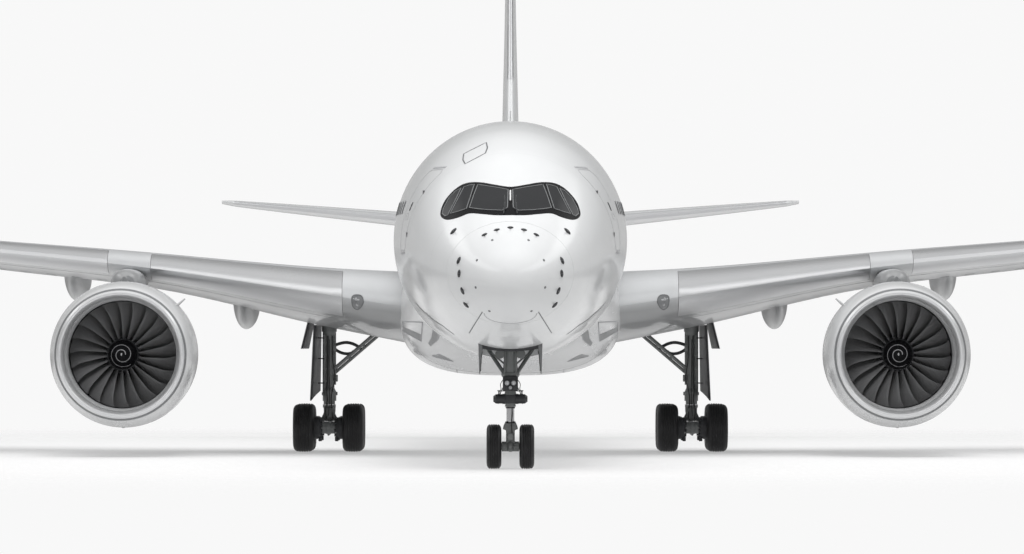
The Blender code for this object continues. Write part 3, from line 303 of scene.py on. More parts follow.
soft_light("ceiling", CEILING_PLACE, CEILING)
key_light = soft_light("key", KEY_PLACE, KEY)
aim = Vector(KEY_TARGET) - Vector(KEY_PLACE)
key_light.rotation_euler = aim.to_track_quat("-Z", "Y").to_euler()
bpy.context.scene.view_settings.view_transform = "Standard"
print("studio ready")

# %% [markdown]
# ## Paint
# Airliner paint is a polyurethane topcoat: bright, glossy and never quite even. Orange peel
# ripples the reflections, each barrel of the fuselage joins the next at a fine line, and the
# air drags dirt aft in long streaks, mostly low on the belly. Drawing that with textures would
# need images, so noise stretched along the flow stands for the streaks.

# %% White fuselage paint
WHITE = (0.80, 0.81, 0.815)
WHITE_SHADE = (0.66, 0.67, 0.685)
CHORD_PLANE = (0.3314, 0.124, 3.002)
JOINT_PITCH = 1.27
JOINT_HALF_WIDTH = 0.004


def paint(name, light, shade, roughness, streaks, joints, below=None):
    """Makes a glossy aircraft paint with soft streaks along the flow and fine skin joints.

    Under the wing's chord plane the paint turns to the darker colour given as below: painted shade
    on the underside.
    """
    graph = Finish(name, roughness, coat=0.35, coat_roughness=0.06)
    x, y, z = (graph.part(graph.place(), axis) for axis in "XYZ")
    cloud = graph.noise(0.45, 4)
    streak = graph.noise(1.0, 5, stretch=(2.2, 0.12, 2.2))
    fine = graph.noise(38, 2)
    soiled = graph.ramp(cloud * 0.45 + streak * 0.55, ((0.42, 0.0), (0.72, 1.0)))
    amount = soiled * streaks
    if joints:
        line = (y + 0.31).wave(JOINT_PITCH) < JOINT_HALF_WIDTH
        amount = amount + line * joints
        graph.bump(line * -1.0, 0.05, 0.002)
    else:
        graph.bump(fine, 0.012, 0.001)
    colour = graph.mix(amount, light, shade)
    # Painted shade: under the chord plane the colour darkens to the one given as below.
    if below:
        out, aft, base = CHORD_PLANE
        over = z * 2 - abs(x) * out + y * aft - base
        under = graph.node("ShaderNodeMapRange", {0: over, 1: 0.0, 2: -0.25, 3: 0.0, 4: 1.0})
        colour = graph.mix(under, colour, below)
    graph.set("Base Color", colour)
    graph.set("Roughness", soiled * 0.10 + fine * 0.05 + roughness - 0.05)
    return graph.material


WHITE_PAINT = paint("white_paint", WHITE, WHITE_SHADE, 0.20, 0.35, 0.35)
BELLY_PAINT = paint("belly_paint", (0.82, 0.825, 0.83), (0.68, 0.69, 0.70), 0.24, 0.5, 0.4)
print("paints:", WHITE_PAINT.name, BELLY_PAINT.name)

# %% [markdown]
# ## Wing grey, bare metal and the dark finishes
# The wing's skin is a duller grey. Its leading edges are bare aluminium, rubbed bright by rain
# and insects, with fine scratches along the air's path. The fan is dark painted metal, and the
# engine's hot end is stained brown and blue by heat.

# %% Greys and metals
# The darker grey under the chord plane is painted shade on the underside; the pylons and gear doors
# lie under it too.
WING_PAINT = paint("wing_paint", (0.58, 0.59, 0.60), (0.46, 0.47, 0.48), 0.32, 0.5, 0.0,
                   below=(0.31, 0.315, 0.32))
COWL_PAINT = paint("cowl_paint", (0.70, 0.705, 0.71), (0.56, 0.565, 0.57), 0.24, 0.4, 0.0)


def metal(name, light, shade, roughness, grain, stretch, metallic=1.0):
    """Makes bare metal whose grain follows one direction."""
    graph = Finish(name, roughness, metallic=metallic)
    brushed = graph.noise(grain, 3, stretch=stretch)
    cloud = graph.noise(1.3, 3)
    graph.set("Base Color", graph.mix(cloud, light, shade))
    graph.set("Roughness", brushed * 0.16 + cloud * 0.08 + roughness - 0.11)
    graph.bump(brushed, 0.008, 0.0006)
    return graph.material


BARE_METAL = metal(
    "bare_metal", (0.68, 0.685, 0.69), (0.60, 0.605, 0.62), 0.30, 26, (1, 9, 9), 0.78)
LIP_METAL = metal(
    "lip_metal", (0.78, 0.785, 0.79), (0.70, 0.705, 0.715), 0.33, 30, (1, 6, 1), 0.55)
CHROME = metal("chrome", (0.90, 0.90, 0.91), (0.84, 0.84, 0.86), 0.12, 40, (8, 8, 1))
STEEL = metal("steel", (0.46, 0.46, 0.47), (0.30, 0.30, 0.31), 0.34, 50, (1, 1, 1))
HOT_METAL = metal("hot_metal", (0.38, 0.35, 0.32), (0.20, 0.19, 0.20), 0.36, 22, (8, 1, 8))
print("metals:", BARE_METAL.name, HOT_METAL.name)

# %% Dark and small finishes


def coating(name, light, shade, roughness, scale=6.0, bump=0.02, metallic=0.0, coat=0.0,
            gloss=0.5):
    """Makes a plain coating with uneven colour, gloss and surface."""
    graph = Finish(name, roughness, metallic=metallic, coat=coat)
    graph.set("Specular IOR Level", gloss)
    cloud = graph.noise(scale, 4)
    fine = graph.noise(scale * 14, 2)
    graph.set("Base Color", graph.mix(cloud, light, shade))
    graph.set("Roughness", cloud * 0.14 + fine * 0.06 + roughness - 0.10)
    graph.bump(fine, bump * 10, 0.0008)
    return graph.material


GEAR_PAINT = coating("gear_paint", (0.28, 0.29, 0.288), (0.15, 0.158, 0.156), 0.30, coat=0.5)
DARK_GEAR = coating("dark_gear", (0.058, 0.060, 0.064), (0.030, 0.031, 0.034), 0.42)
BLADE_METAL = coating("blade_metal", (0.29, 0.29, 0.295), (0.21, 0.21, 0.215), 0.32, 3,
                      metallic=0.25)
BAY_PAINT = coating("bay_paint", (0.16, 0.17, 0.16), (0.08, 0.085, 0.08), 0.5, 4)
RUBBER = coating("hose_rubber", (0.02, 0.02, 0.02), (0.035, 0.035, 0.035), 0.6, 20)
SEAL = coating("seal", (0.20, 0.205, 0.21), (0.14, 0.145, 0.15), 0.55, 20)
PALE_SEAL = coating("pale_seal", (0.47, 0.475, 0.485), (0.36, 0.365, 0.375), 0.45, 20)
MASK_BLACK = coating("mask_black", (0.006, 0.006, 0.007), (0.010, 0.010, 0.011), 0.28, 4,
                     bump=0.004, gloss=0.06)
PANE_GLASS = coating("pane_glass", (0.010, 0.011, 0.013), (0.016, 0.017, 0.019), 0.12, 3,
                     bump=0.0, gloss=0.20)
GASKET = coating("gasket", (0.22, 0.225, 0.23), (0.16, 0.165, 0.17), 0.5, 20)
CABIN_GLASS = coating("cabin_glass", (0.02, 0.022, 0.026), (0.035, 0.038, 0.043), 0.18, 5,
                      bump=0.0, gloss=0.25)
INTAKE_GREY = coating("intake_grey", (0.25, 0.255, 0.26), (0.18, 0.185, 0.19), 0.5, 8)
LAMP_GLASS = coating("lamp_glass", (0.72, 0.73, 0.74), (0.62, 0.63, 0.65), 0.10, 12, coat=1.0)
RED_GLASS = coating("red_glass", (0.42, 0.02, 0.015), (0.30, 0.015, 0.012), 0.15, 9, coat=1.0)
GREEN_GLASS = coating("green_glass", (0.02, 0.30, 0.10), (0.015, 0.22, 0.07), 0.15, 9,
                      coat=1.0)
# The white of the centre post is a painted highlight: it draws a bright reflection along the post.
POST_HIGHLIGHT_WHITE = coating("mark_white", (0.85, 0.85, 0.85), (0.75, 0.75, 0.75), 0.35, 20)
RIM_PAINT = coating("rim_paint", (0.30, 0.305, 0.31), (0.18, 0.185, 0.19), 0.35, 10)
# A mid grey for painted shade: the dark insides of the cooling scoops.
SCOOP_SHADE_GREY = coating("scoop_grey", (0.35, 0.355, 0.36), (0.28, 0.285, 0.29), 0.5, 8)
DUCT_LINER = coating("duct_liner", (0.62, 0.625, 0.63), (0.52, 0.525, 0.53), 0.42, 5)
SPIRAL_GREY = coating("spiral_grey", (0.42, 0.42, 0.43), (0.34, 0.34, 0.35), 0.35, 20)
print("finishes so far:", len(bpy.data.materials))

# %% Tyre rubber
TYRE_LIGHT = (0.018, 0.018, 0.019)
TYRE_DARK = (0.010, 0.010, 0.011)
tyre_graph = Finish("tyre_rubber", 0.5)
scuff = tyre_graph.noise(9, 5)
grit = tyre_graph.noise(160, 2)
tyre_graph.set("Base Color", tyre_graph.mix(scuff, TYRE_LIGHT, TYRE_DARK))
tyre_graph.set("Roughness", scuff * 0.2 + 0.40)
tyre_graph.bump(grit, 0.25, 0.0008)
TYRE_RUBBER = tyre_graph.material
print("tyre rubber ready")

# %% [markdown]
# ## Tools for shapes
# Most of an aircraft is skin stretched over a row of sections. In Blender that is a circle
# that is extruded again and again, each time moved on to the next section. The tools below
# wrap that move, a turned profile, bars and boxes, and what makes a piece out of a shape.

# %% Skins, turned shapes, bars and boxes


def skin(rings, caps=True, round_again=False):
    """Extrudes a circle of points from section to section."""
    shape = bmesh.new()
    loop = bmesh.ops.create_circle(shape, segments=len(rings[0]), radius=1)["verts"]
    for vert, point in zip(loop, rings[0]):
        vert.co = point
    edges = shape.edges[:]
    if caps:
        bmesh.ops.contextual_create(shape, geom=edges)
    for ring in rings[1:]:
        grown = bmesh.ops.extrude_edge_only(shape, edges=edges)["geom"]
        edges = [part for part in grown if isinstance(part, bmesh.types.BMEdge)]
        new = {part for part in grown if isinstance(part, bmesh.types.BMVert)}
        loop = [
            next(edge.other_vert(vert) for edge in vert.link_edges
                 if edge.other_vert(vert) in new)
            for vert in loop]
        for vert, point in zip(loop, ring):
            vert.co = point
    if caps:
        bmesh.ops.contextual_create(shape, geom=edges)
    if round_again:
        bmesh.ops.remove_doubles(shape, verts=shape.verts, dist=0.0002)
    bmesh.ops.recalc_face_normals(shape, faces=shape.faces)
    return shape


def turn(profile, centre, axis, steps=64, closed=True):
    """Spins a profile of (distance along, radius) pairs about the x, y or z axis."""
    shape = bmesh.new()
    along = {"X": Vector((1, 0, 0)), "Y": Vector((0, 1, 0)), "Z": Vector((0, 0, 1))}[axis]
    out = Vector((1, 0, 0)) if axis == "Z" else Vector((0, 0, 1))
    centre = Vector(centre)
    verts = [shape.verts.new(centre + along * a + out * r) for a, r in profile]
    pairs = list(zip(verts, verts[1:])) + ([(verts[-1], verts[0])] if closed else [])
    edges = [shape.edges.new(pair) for pair in pairs]
    bmesh.ops.spin(
        shape, geom=verts + edges, cent=centre, axis=along, angle=2 * math.pi, steps=steps,
        use_merge=True)
    bmesh.ops.remove_doubles(shape, verts=shape.verts, dist=0.0002)
    bmesh.ops.recalc_face_normals(shape, faces=shape.faces)
    return shape


def bar(start, end, radius, sides=16, end_radius=None):
    """Makes a round bar or a cone between two points."""
    start = Vector(start)
    end = Vector(end)
    aim = (end - start).to_track_quat("Z", "X").to_matrix().to_4x4()
    shape = bmesh.new()
    bmesh.ops.create_cone(
        shape, cap_ends=True, segments=sides, radius1=radius,
        radius2=radius if end_radius is None else end_radius, depth=(end - start).length,
        matrix=Matrix.Translation((start + end) / 2) @ aim)
    return shape


def box(low, high):
    """Makes a box between two corners."""
    low = Vector(low)
    high = Vector(high)
    shape = bmesh.new()
    bmesh.ops.create_cube(shape, size=1)
    bmesh.ops.scale(shape, verts=shape.verts, vec=high - low)
    bmesh.ops.translate(shape, verts=shape.verts, vec=(low + high) / 2)
    return shape


def softened(shape, bevel, segments=3):
    """Rounds all the edges of a shape."""
    bmesh.ops.bevel(
        shape, geom=shape.edges[:], offset=bevel, segments=segments, profile=0.5,
        affect="EDGES", material=-1)
    return shape


def brick(low, high, bevel=0.01, segments=2):
    """Makes a box between two corners with rounded edges."""
    return softened(box(low, high), bevel, segments)


def tube(points, radius, sides=8):
    """Makes a pipe or hose along a row of points."""
    points = [Vector(point) for point in points]
    rings = []
    side = Vector((0.31, 0.17, 0.93))
    for i, point in enumerate(points):
        way = points[min(i + 1, len(points) - 1)] - points[max(i - 1, 0)]
        way.normalize()
        side = (side - way * side.dot(way)).normalized()
        other = way.cross(side)
        rings.append([
            point + (side * math.cos(a) + other * math.sin(a)) * radius
            for a in (2 * math.pi * k / sides for k in range(sides))])
    return skin(rings)


def ball(centre, radius, stretch=(1, 1, 1), detail=12):
    """Makes a ball, or an egg if it is stretched."""
    shape = bmesh.new()
    bmesh.ops.create_uvsphere(
        shape, u_segments=2 * detail, v_segments=detail, radius=radius,
        matrix=Matrix.Translation(centre) @ Matrix.Diagonal((*stretch, 1)))
    return shape


def curve(points, steps=6, closed=False):
    """Rounds a row of points off with a Catmull-Rom curve through them."""
    points = [Vector(point) for point in points]
    count = len(points)
    result = []
    for i in range(count if closed else count - 1):
        if closed:
            a, b, c, d = (points[(i + k) % count] for k in (-1, 0, 1, 2))
        else:
            a, b, c, d = (points[min(max(i + k, 0), count - 1)] for k in (-1, 0, 1, 2))
        for k in range(steps):
            t = k / steps
            result.append(
                b + (c - a) * (t / 2) + (a * 2 - b * 5 + c * 4 - d) * (t * t / 2)
                + (b * 3 - a - c * 3 + d) * (t ** 3 / 2))
    if not closed:
        result.append(points[-1])
    return result


def gather(shapes):
    """Joins a list of shapes into one, side by side. A shape alone stays as it is."""
    if not isinstance(shapes, list):
        return shapes
    whole = bmesh.new()
    for shape in shapes:
        mesh = bpy.data.meshes.new("gathered")
        shape.to_mesh(mesh)
        shape.free()
        whole.from_mesh(mesh)
        bpy.data.meshes.remove(mesh)
    return whole


def twin(shape):
    """Gives the mirror image of a shape."""
    other = shape.copy()
    bmesh.ops.scale(other, verts=other.verts, vec=(-1, 1, 1))
    bmesh.ops.reverse_faces(other, faces=other.faces)
    return other


def moved(shape, matrix):
    """Gives a copy of a shape under a matrix."""
    other = shape.copy()
    other.transform(matrix)
    return other


def publish(name, shape, finish, body="airframe", replaces=(), sharp=32):
    """Turns a shape, or a list of them, into a piece of the model that rides on one body."""
    shape = gather(shape)
    shape.transform(TO_MODEL)
    mesh = bpy.data.meshes.new(name)
    shape.to_mesh(mesh)
    shape.free()
    mesh.materials.append(finish)
    mesh.shade_smooth()
    mesh.set_sharp_from_angle(angle=math.radians(sharp))
    piece = put(name, mesh)
    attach(piece, body)
    if replaces:
        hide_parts(*replaces)
    return piece


def publish_pair(name, shape, finish, body="airframe", replaces=(), sharp=32):
    """Publishes a left-hand shape, or a list of them, and its mirror image."""
    shape = gather(shape)
    other = twin(shape)
    for side, part in (("left", shape), ("right", other)):
        publish(
            f"{name}_{side}", part, finish, body.format(side=side),
            [node.format(side=side) for node in replaces], sharp)


def carve(shape, other, operation="DIFFERENCE"):
    """Cuts a closed shape with another, or keeps what they share."""
    items = []
    for part in (shape, other):
        mesh = bpy.data.meshes.new("carving")
        part.to_mesh(mesh)
        part.free()
        items.append(put("carving", mesh))
    boolean = items[0].modifiers.new("carve", "BOOLEAN")
    boolean.operation = operation
    boolean.object = items[1]
    bpy.context.view_layer.update()
    depsgraph = bpy.context.evaluated_depsgraph_get()
    result = bmesh.new()
    result.from_mesh(items[0].evaluated_get(depsgraph).to_mesh())
    for item in items:
        mesh = item.data
        bpy.data.objects.remove(item)
        bpy.data.meshes.remove(mesh)
    return result


def prism(corners, reach):
    """Extrudes a flat outline along a vector."""
    shape = bmesh.new()
    loop = bmesh.ops.create_circle(shape, segments=len(corners), radius=1, cap_ends=True)
    for vert, corner in zip(loop["verts"], corners):
        vert.co = corner
    top = bmesh.ops.extrude_face_region(shape, geom=shape.faces[:])["geom"]
    bmesh.ops.translate(
        shape, verts=[part for part in top if isinstance(part, bmesh.types.BMVert)], vec=reach)
    bmesh.ops.recalc_face_normals(shape, faces=shape.faces)
    return shape


print("shape tools ready")

# %% [markdown]
# ## Lines on a skin
# Doors, hatches, pane frames and panel gaps are all fine lines that hug a curved skin. Each is
# a flat strip: its path is thrown at the skin along one direction, and where it lands a small
# rectangle is set square to the surface. Extruding that rectangle along the path gives a real
# solid that stands a few millimetres proud.

# %% Strips, plates and studs on a skin


def tree_of(shape):
    """Makes a search tree of a shape, for throwing points at it."""
    return BVHTree.FromBMesh(shape)


def land(tree, point, way):
    """Gives where a point lands on a skin, and the skin's normal there."""
    place, normal, _, _ = tree.ray_cast(Vector(point), Vector(way))
    if place is None:
        place, normal, _, _ = tree.find_nearest(Vector(point))
    if normal.dot(Vector(way)) > 0:
        normal = -normal
    return place, normal


def spaced(path, step):
    """Adds points to a path so that none is further than a step from the next."""
    path = [Vector(point) for point in path]
    result = [path[0]]
    for near, far in zip(path, path[1:]):
        count = max(1, math.ceil((far - near).length / step))
        result += [near.lerp(far, (k + 1) / count) for k in range(count)]
    return result


def spaced_loop(path, step=0.06):
    """Adds points to a closed path in the same way."""
    return spaced([*path, path[0]], step)[:-1]


def strip(tree, path, way, width=0.02, height=0.005, closed=False, step=0.12):
    """Lays a flat strip on a skin. The path is thrown at it along one direction."""
    path = spaced([*path, path[0]] if closed else path, step)
    landed = [land(tree, point, way) for point in path]
    rings = []
    for i, (place, normal) in enumerate(landed):
        if closed and i in (0, len(landed) - 1):
            along = landed[1][0] - landed[-2][0]
        else:
            along = landed[min(i + 1, len(landed) - 1)][0] - landed[max(i - 1, 0)][0]
        side = normal.cross(along).normalized() * width / 2
        rings.append([
            place + side + normal * height, place - side + normal * height,
            place - side - normal * height, place + side - normal * height])
    return skin(rings, caps=not closed, round_again=closed)


def plate_on(tree, outline, way, height=0.004):
    """Lays a closed thin plate on a skin, with rings that shrink to its middle."""
    landed = [land(tree, point, way) for point in outline]
    middle = sum((Vector(point) for point in outline), Vector()) / len(outline)
    rings = [[place - normal * height for place, normal in landed]]
    for share in (1.0, 0.55, 0.12):
        ring = []
        for point in outline:
            place, normal = land(tree, middle.lerp(Vector(point), share), way)
            ring.append(place + normal * height)
        rings.append(ring)
    return skin(rings)


def stud(tree, point, way, radius, height, sides=10, top=0.7):
    """Sets a short round stud on a skin."""
    place, normal = land(tree, point, way)
    return bar(place - normal * 0.01, place + normal * height, radius, sides, radius * top)


def rounded_box(width, height, radius, steps=4):
    """Gives the outline of a box with round corners, about its middle."""
    points = []
    for quarter in range(4):
        turn_x = 1 if quarter in (0, 3) else -1
        turn_z = 1 if quarter < 2 else -1
        for k in range(steps + 1):
            angle = math.pi / 2 * (quarter + k / steps)
            points.append((
                turn_x * (width / 2 - radius) + radius * math.cos(angle),
                turn_z * (height / 2 - radius) + radius * math.sin(angle)))
    return points


print("line tools ready")

# %% [markdown]
# ## The fuselage
# An airliner's body is a plain tube with a modelled nose and tail. A nose can be carved from a
# ball or pulled from a cage, but makers draw it from cross sections, and so does this cell: a
# short table gives the half width, the top, the bottom and the widest height at each station.
# A monotone cubic reads the table between the rows, so the skin bends without any ripple. It
# reads along the square root of y, which rounds the tip off like a real radome.

# %% Sections of the fuselage
FUSELAGE_ROWS = (
    (0.00, 0.00, 4.65, 4.65, 4.65),
    (0.06, 0.33, 4.93, 4.42, 4.65),
    (0.20, 0.60, 5.16, 4.24, 4.66),
    (0.50, 0.93, 5.45, 4.00, 4.70),
    (1.00, 1.33, 5.85, 3.72, 4.78),
    (1.35, 1.54, 6.08, 3.57, 4.83),
    (2.00, 1.85, 6.45, 3.35, 4.94),
    (3.00, 2.18, 6.96, 3.08, 5.10),
    (4.00, 2.41, 7.46, 2.92, 5.26),
    (5.00, 2.58, 7.90, 2.82, 5.40),
    (7.00, 2.81, 8.48, 2.72, 5.62),
    (9.00, 2.94, 8.73, 2.69, 5.71),
    (10.50, 2.98, 8.78, 2.69, 5.73),
    (43.00, 2.98, 8.78, 2.69, 5.73),
    (47.00, 2.93, 8.78, 2.98, 5.90),
    (51.00, 2.67, 8.78, 3.65, 6.22),
    (55.00, 2.22, 8.74, 4.52, 6.63),
    (59.00, 1.62, 8.60, 5.40, 7.00),
    (62.00, 1.15, 8.42, 6.05, 7.24),
    (65.00, 0.68, 8.05, 6.65, 7.35),
    (LENGTH, 0.38, 7.72, 6.95, 7.34),
)
RING_POINTS = 96


def eased(rows, where):
    """Reads each column of a table at a place along its first column, without overshoot."""
    last = len(rows) - 1
    k = next((i for i in range(last) if where <= rows[i + 1][0]), last - 1)
    near, far = rows[k], rows[k + 1]
    span = far[0] - near[0]
    t = min(max((where - near[0]) / span, 0), 1)

    def slope(i, column):
        if i in (0, last):
            a, b = (rows[0], rows[1]) if i == 0 else (rows[last - 1], rows[last])
            return (b[column] - a[column]) / (b[0] - a[0])
        before = (rows[i][column] - rows[i - 1][column]) / (rows[i][0] - rows[i - 1][0])
        after = (rows[i + 1][column] - rows[i][column]) / (rows[i + 1][0] - rows[i][0])
        return 2 * before * after / (before + after) if before * after > 0 else 0.0

    values = [where]
    for column in range(1, len(near)):
        values.append(
            (2 * t ** 3 - 3 * t ** 2 + 1) * near[column]
            + (t ** 3 - 2 * t ** 2 + t) * span * slope(k, column)
            + (3 * t ** 2 - 2 * t ** 3) * far[column]
            + (t ** 3 - t ** 2) * span * slope(k + 1, column))
    return values


ROOT_ROWS = [(math.sqrt(row[0]), *row[1:]) for row in FUSELAGE_ROWS]


def body_section(y):
    """Gives the half width, top, bottom and widest height of the fuselage at a station."""
    return eased(ROOT_ROWS, math.sqrt(max(y, 0)))[1:]


def body_ring(y, grow=0.0):
    """Gives the points round the fuselage at a station."""
    half, top, bottom, widest = body_section(y)
    ring = []
    for i in range(RING_POINTS):
        angle = 2 * math.pi * i / RING_POINTS
        height = top - widest if math.sin(angle) >= 0 else widest - bottom
        ring.append((
            (half + grow) * math.cos(angle), y, widest + (height + grow) * math.sin(angle)))
    return ring


def steps(start, end, count, power=1.0):
    """Gives evenly spaced numbers, or ones that crowd towards the start."""
    return [start + (end - start) * (i / count) ** power for i in range(count + 1)]


NOSE_STATIONS = steps(0.0006, RADOME_SEAM_Y, 18, 2.0)
FRONT_STATIONS = steps(RADOME_SEAM_Y + 0.008, 10.5, 34)
BARREL_STATIONS = steps(10.5, 43.0, 16)[1:]
TAIL_STATIONS = steps(43.0, LENGTH, 30)[1:]
print("half width at the cockpit:", round(body_section(3.5)[0], 2), "m")

# %% [markdown]
# ## Glazing cut out of the skin
# The cockpit glass follows the skin exactly, so it is cut from it: a plug with the outline of
# the dark band, seen from ahead, is pushed through the nose. What the body shares with the
# plug is the band. The nose gear's bay is taken out with a box in the same way.

# %% The body, the radome and the dark band of the cockpit
BAND_OUTLINE = (
    (0.00, 6.96), (0.35, 7.01), (0.75, 7.08), (1.10, 7.06), (1.38, 6.90),
    (1.62, 6.62), (1.72, 6.34), (1.68, 6.20), (1.52, 6.14), (1.25, 6.20),
    (1.00, 6.29), (0.68, 6.27), (0.36, 6.24), (0.00, 6.24),
)
BAND_DEPTH = 4.6
BAND_PROUD = 0.004
BAY = ((-0.79, 3.60, 0.0), (0.79, 6.60, 4.25))
AHEAD = (0, 1, 0)


def seen_ahead(points):
    """Completes the left half of an outline seen from ahead, and rounds it."""
    right = [(-x, z) for x, z in reversed(points[1:-1])]
    return [(p.x, 0, p.z) for p in curve([(x, 0, z) for x, z in [*points, *right]], 5, True)]


nose_shape = skin([body_ring(y) for y in NOSE_STATIONS])
body_shape = skin([body_ring(y) for y in FRONT_STATIONS + BARREL_STATIONS + TAIL_STATIONS])
body_tree = tree_of(gather([body_shape.copy(), nose_shape.copy()]))
band_plug = prism(seen_ahead(BAND_OUTLINE), (0, BAND_DEPTH, 0))
band_shape = carve(
    skin([body_ring(y, BAND_PROUD) for y in FRONT_STATIONS]), band_plug, "INTERSECT")
body_cut = carve(body_shape, box(*BAY))
publish("fuselage_skin", body_cut, WHITE_PAINT, replaces=["fuselage"], sharp=40)
publish("radome_skin", nose_shape, WHITE_PAINT, replaces=["radome"], sharp=40)
publish(
    "cockpit_band", band_shape, MASK_BLACK, replaces=["cockpit_windows"], sharp=40)
print("fuselage skinned")

# %% [markdown]
# ## Cockpit panes
# Six panes sit in the band. Each has a thin grey gasket round it, and the two front panes are
# split by a post drawn as a white strip, which is a painted highlight. The panes are laid on the
# band as plates and the gaskets as strips, all thrown at the nose from straight ahead, which is
# how the photograph gives their corners.

# %% Panes, gaskets, post and wipers
PANES = (
    ((0.055, 6.88), (0.30, 6.93), (0.80, 7.015), (0.90, 6.74), (1.00, 6.43), (0.78, 6.395),
     (0.55, 6.370), (0.20, 6.355), (0.07, 6.43)),
    ((0.885, 7.02), (1.02, 7.00), (1.14, 6.96), (1.47, 6.29), (1.28, 6.34), (1.07, 6.41)),
    ((1.21, 6.93), (1.34, 6.86), (1.50, 6.70), (1.64, 6.43), (1.665, 6.30), (1.60, 6.235),
     (1.53, 6.255), (1.38, 6.56)),
)
POST = ((0.0, 6.86), (0.0, 6.60))
WIPER_RODS = (
    (((0.16, 6.25), (0.14, 6.52)), 0.045, 0.012),
    (((0.115, 6.36), (0.125, 6.52), (0.14, 6.72)), 0.028, 0.010),
)


def ahead(points):
    """Stands flat points up as seen from ahead of the nose."""
    return [Vector((x, -1, z)) for x, z in points]


panes = []
gaskets = []
for outline in PANES:
    path = ahead(outline)
    panes.append(plate_on(body_tree, spaced_loop(path), AHEAD, 0.009))
    gaskets.append(strip(body_tree, path, AHEAD, 0.022, 0.014, closed=True, step=0.06))
panes += [twin(pane) for pane in panes]
gaskets += [twin(gasket) for gasket in gaskets]
publish("cockpit_panes", panes, PANE_GLASS)
publish("pane_gaskets", gaskets, GASKET)
wipers = []
for side in (-1, 1):
    for path, proud, radius in WIPER_RODS:
        landed = [land(body_tree, (side * x, -1, z), AHEAD) for x, z in path]
        wipers.append(tube([place + normal * proud for place, normal in landed], radius))
# The post is laid as a white strip: a painted highlight of the light along it.
post = strip(body_tree, ahead(POST), AHEAD, 0.035, 0.02)
publish("centre_post", post, POST_HIGHLIGHT_WHITE)
publish("wipers", wipers, DARK_GEAR)
print("panes:", len(panes))

# %% [markdown]
# ## Probes and studs on the nose
# The nose carries its senses: pitot probes on short legs, static plates, ice detectors and
# angle vanes. From ahead they show as small dark ovals in an arc and two columns, each set
# across the air's path. Each is an oval blister with a short leg and a tube, both straight ahead.

# %% Pitot probes, vanes and static plates
PROBE_COLUMN = ((1.255, 5.13), (1.245, 4.81), (1.165, 4.39), (1.08, 4.05))
PROBE_ARC = ((0.0, 5.93), (0.33, 5.875), (0.63, 5.755))
SMALL_PLATES = ((0.44, 5.62), (0.81, 5.13), (0.84, 4.47), (0.51, 3.90))
SIDE_VANE = (1.39, 5.85)
PROBE_CENTRE_Z = 4.65
PROBE_OVAL = (0.098, 0.030, 0.060)


def probe(x, z, size):
    """Makes one probe: an oval blister, a leg and a tube that points ahead."""
    place, normal = land(body_tree, (x, -1, z), AHEAD)
    outward = Vector((x, 0, z - PROBE_CENTRE_Z))
    along = outward.cross(Vector((0, 1, 0)))
    along = (along - normal * along.dot(normal)).normalized()
    blister = ball((0, 0, 0), size, PROBE_OVAL, 7)
    axes = Matrix((along, normal, along.cross(normal))).transposed().to_4x4()
    blister.transform(Matrix.Translation(place) @ axes)
    knee = place + Vector((0, -0.05, 0)) * size
    leg = bar(place, knee, 0.030 * size, 10, 0.022 * size)
    head = bar(knee, knee + Vector((0, -0.10 * size, 0)), 0.020 * size, 10, 0.012 * size)
    return [blister, leg, head]


probe_parts = []
plate_parts = []
for side in (-1, 1):
    for x, z in PROBE_COLUMN:
        probe_parts += probe(side * x, z, 1.0)
    for x, z in PROBE_ARC[1:]:
        probe_parts += probe(side * x, z, 0.8)
    probe_parts += probe(side * SIDE_VANE[0], SIDE_VANE[1], 1.1)
    for x, z in SMALL_PLATES:
        plate_parts.append(stud(body_tree, (side * x, -1, z), AHEAD, 0.034, 0.008, 14, 0.9))
probe_parts += probe(*PROBE_ARC[0], 0.8)
publish("nose_probes", probe_parts, DARK_GEAR)
publish("nose_studs", plate_parts, SEAL)
print("probes:", len(probe_parts) // 3)

# %% Seams and hatches on the nose, and dark strips of painted shade low on each side of the front barrel
HATCH = ((-1.16, 7.83), (-0.60, 8.12), (-0.57, 7.98), (-0.62, 7.83), (-1.12, 7.56), (-1.18, 7.67))
CHIN_LINE = ((0.68, 3.88), (1.01, 3.37))
CHIN_ARC = [(0.64 * math.cos(a), 3.85 - 0.25 * math.sin(a)) for a in steps(0, math.pi, 14)]
KEEL_SHADE_LINE = ((2.27, 4.075), (2.014, 3.819), (1.635, 3.544), (1.359, 3.336))
KEEL_WAY = Vector((-0.6, 0, 0.8))
KEEL_STANDOFF = 0.4
nose_lines = [strip(body_tree, ahead(HATCH), AHEAD, 0.034, 0.006, closed=True)]
for side in (1, -1):
    line = ahead([(side * x, z) for x, z in CHIN_LINE])
    nose_lines.append(strip(body_tree, line, AHEAD, 0.024, 0.006))
publish("nose_seams", nose_lines, SEAL)
chin_seam = strip(body_tree, ahead(CHIN_ARC), AHEAD, 0.022, 0.004)
publish("chin_seam", chin_seam, PALE_SEAL)
# Painted shade: a dark strip low on each side of the front barrel, where the fuselage's lower side
# reads dark from ahead.
keel_line = []
for x, z in KEEL_SHADE_LINE:
    place, _ = land(body_tree, (x, 0, z), (x, CAMERA_AHEAD, z - CAMERA_Z))
    keel_line.append(place - KEEL_WAY * KEEL_STANDOFF)
keel_shade_strip = strip(body_tree, keel_line, KEEL_WAY, 0.055, 0.006)
publish_pair("keel_slots", keel_shade_strip, SEAL)
print("nose lines:", len(nose_lines))

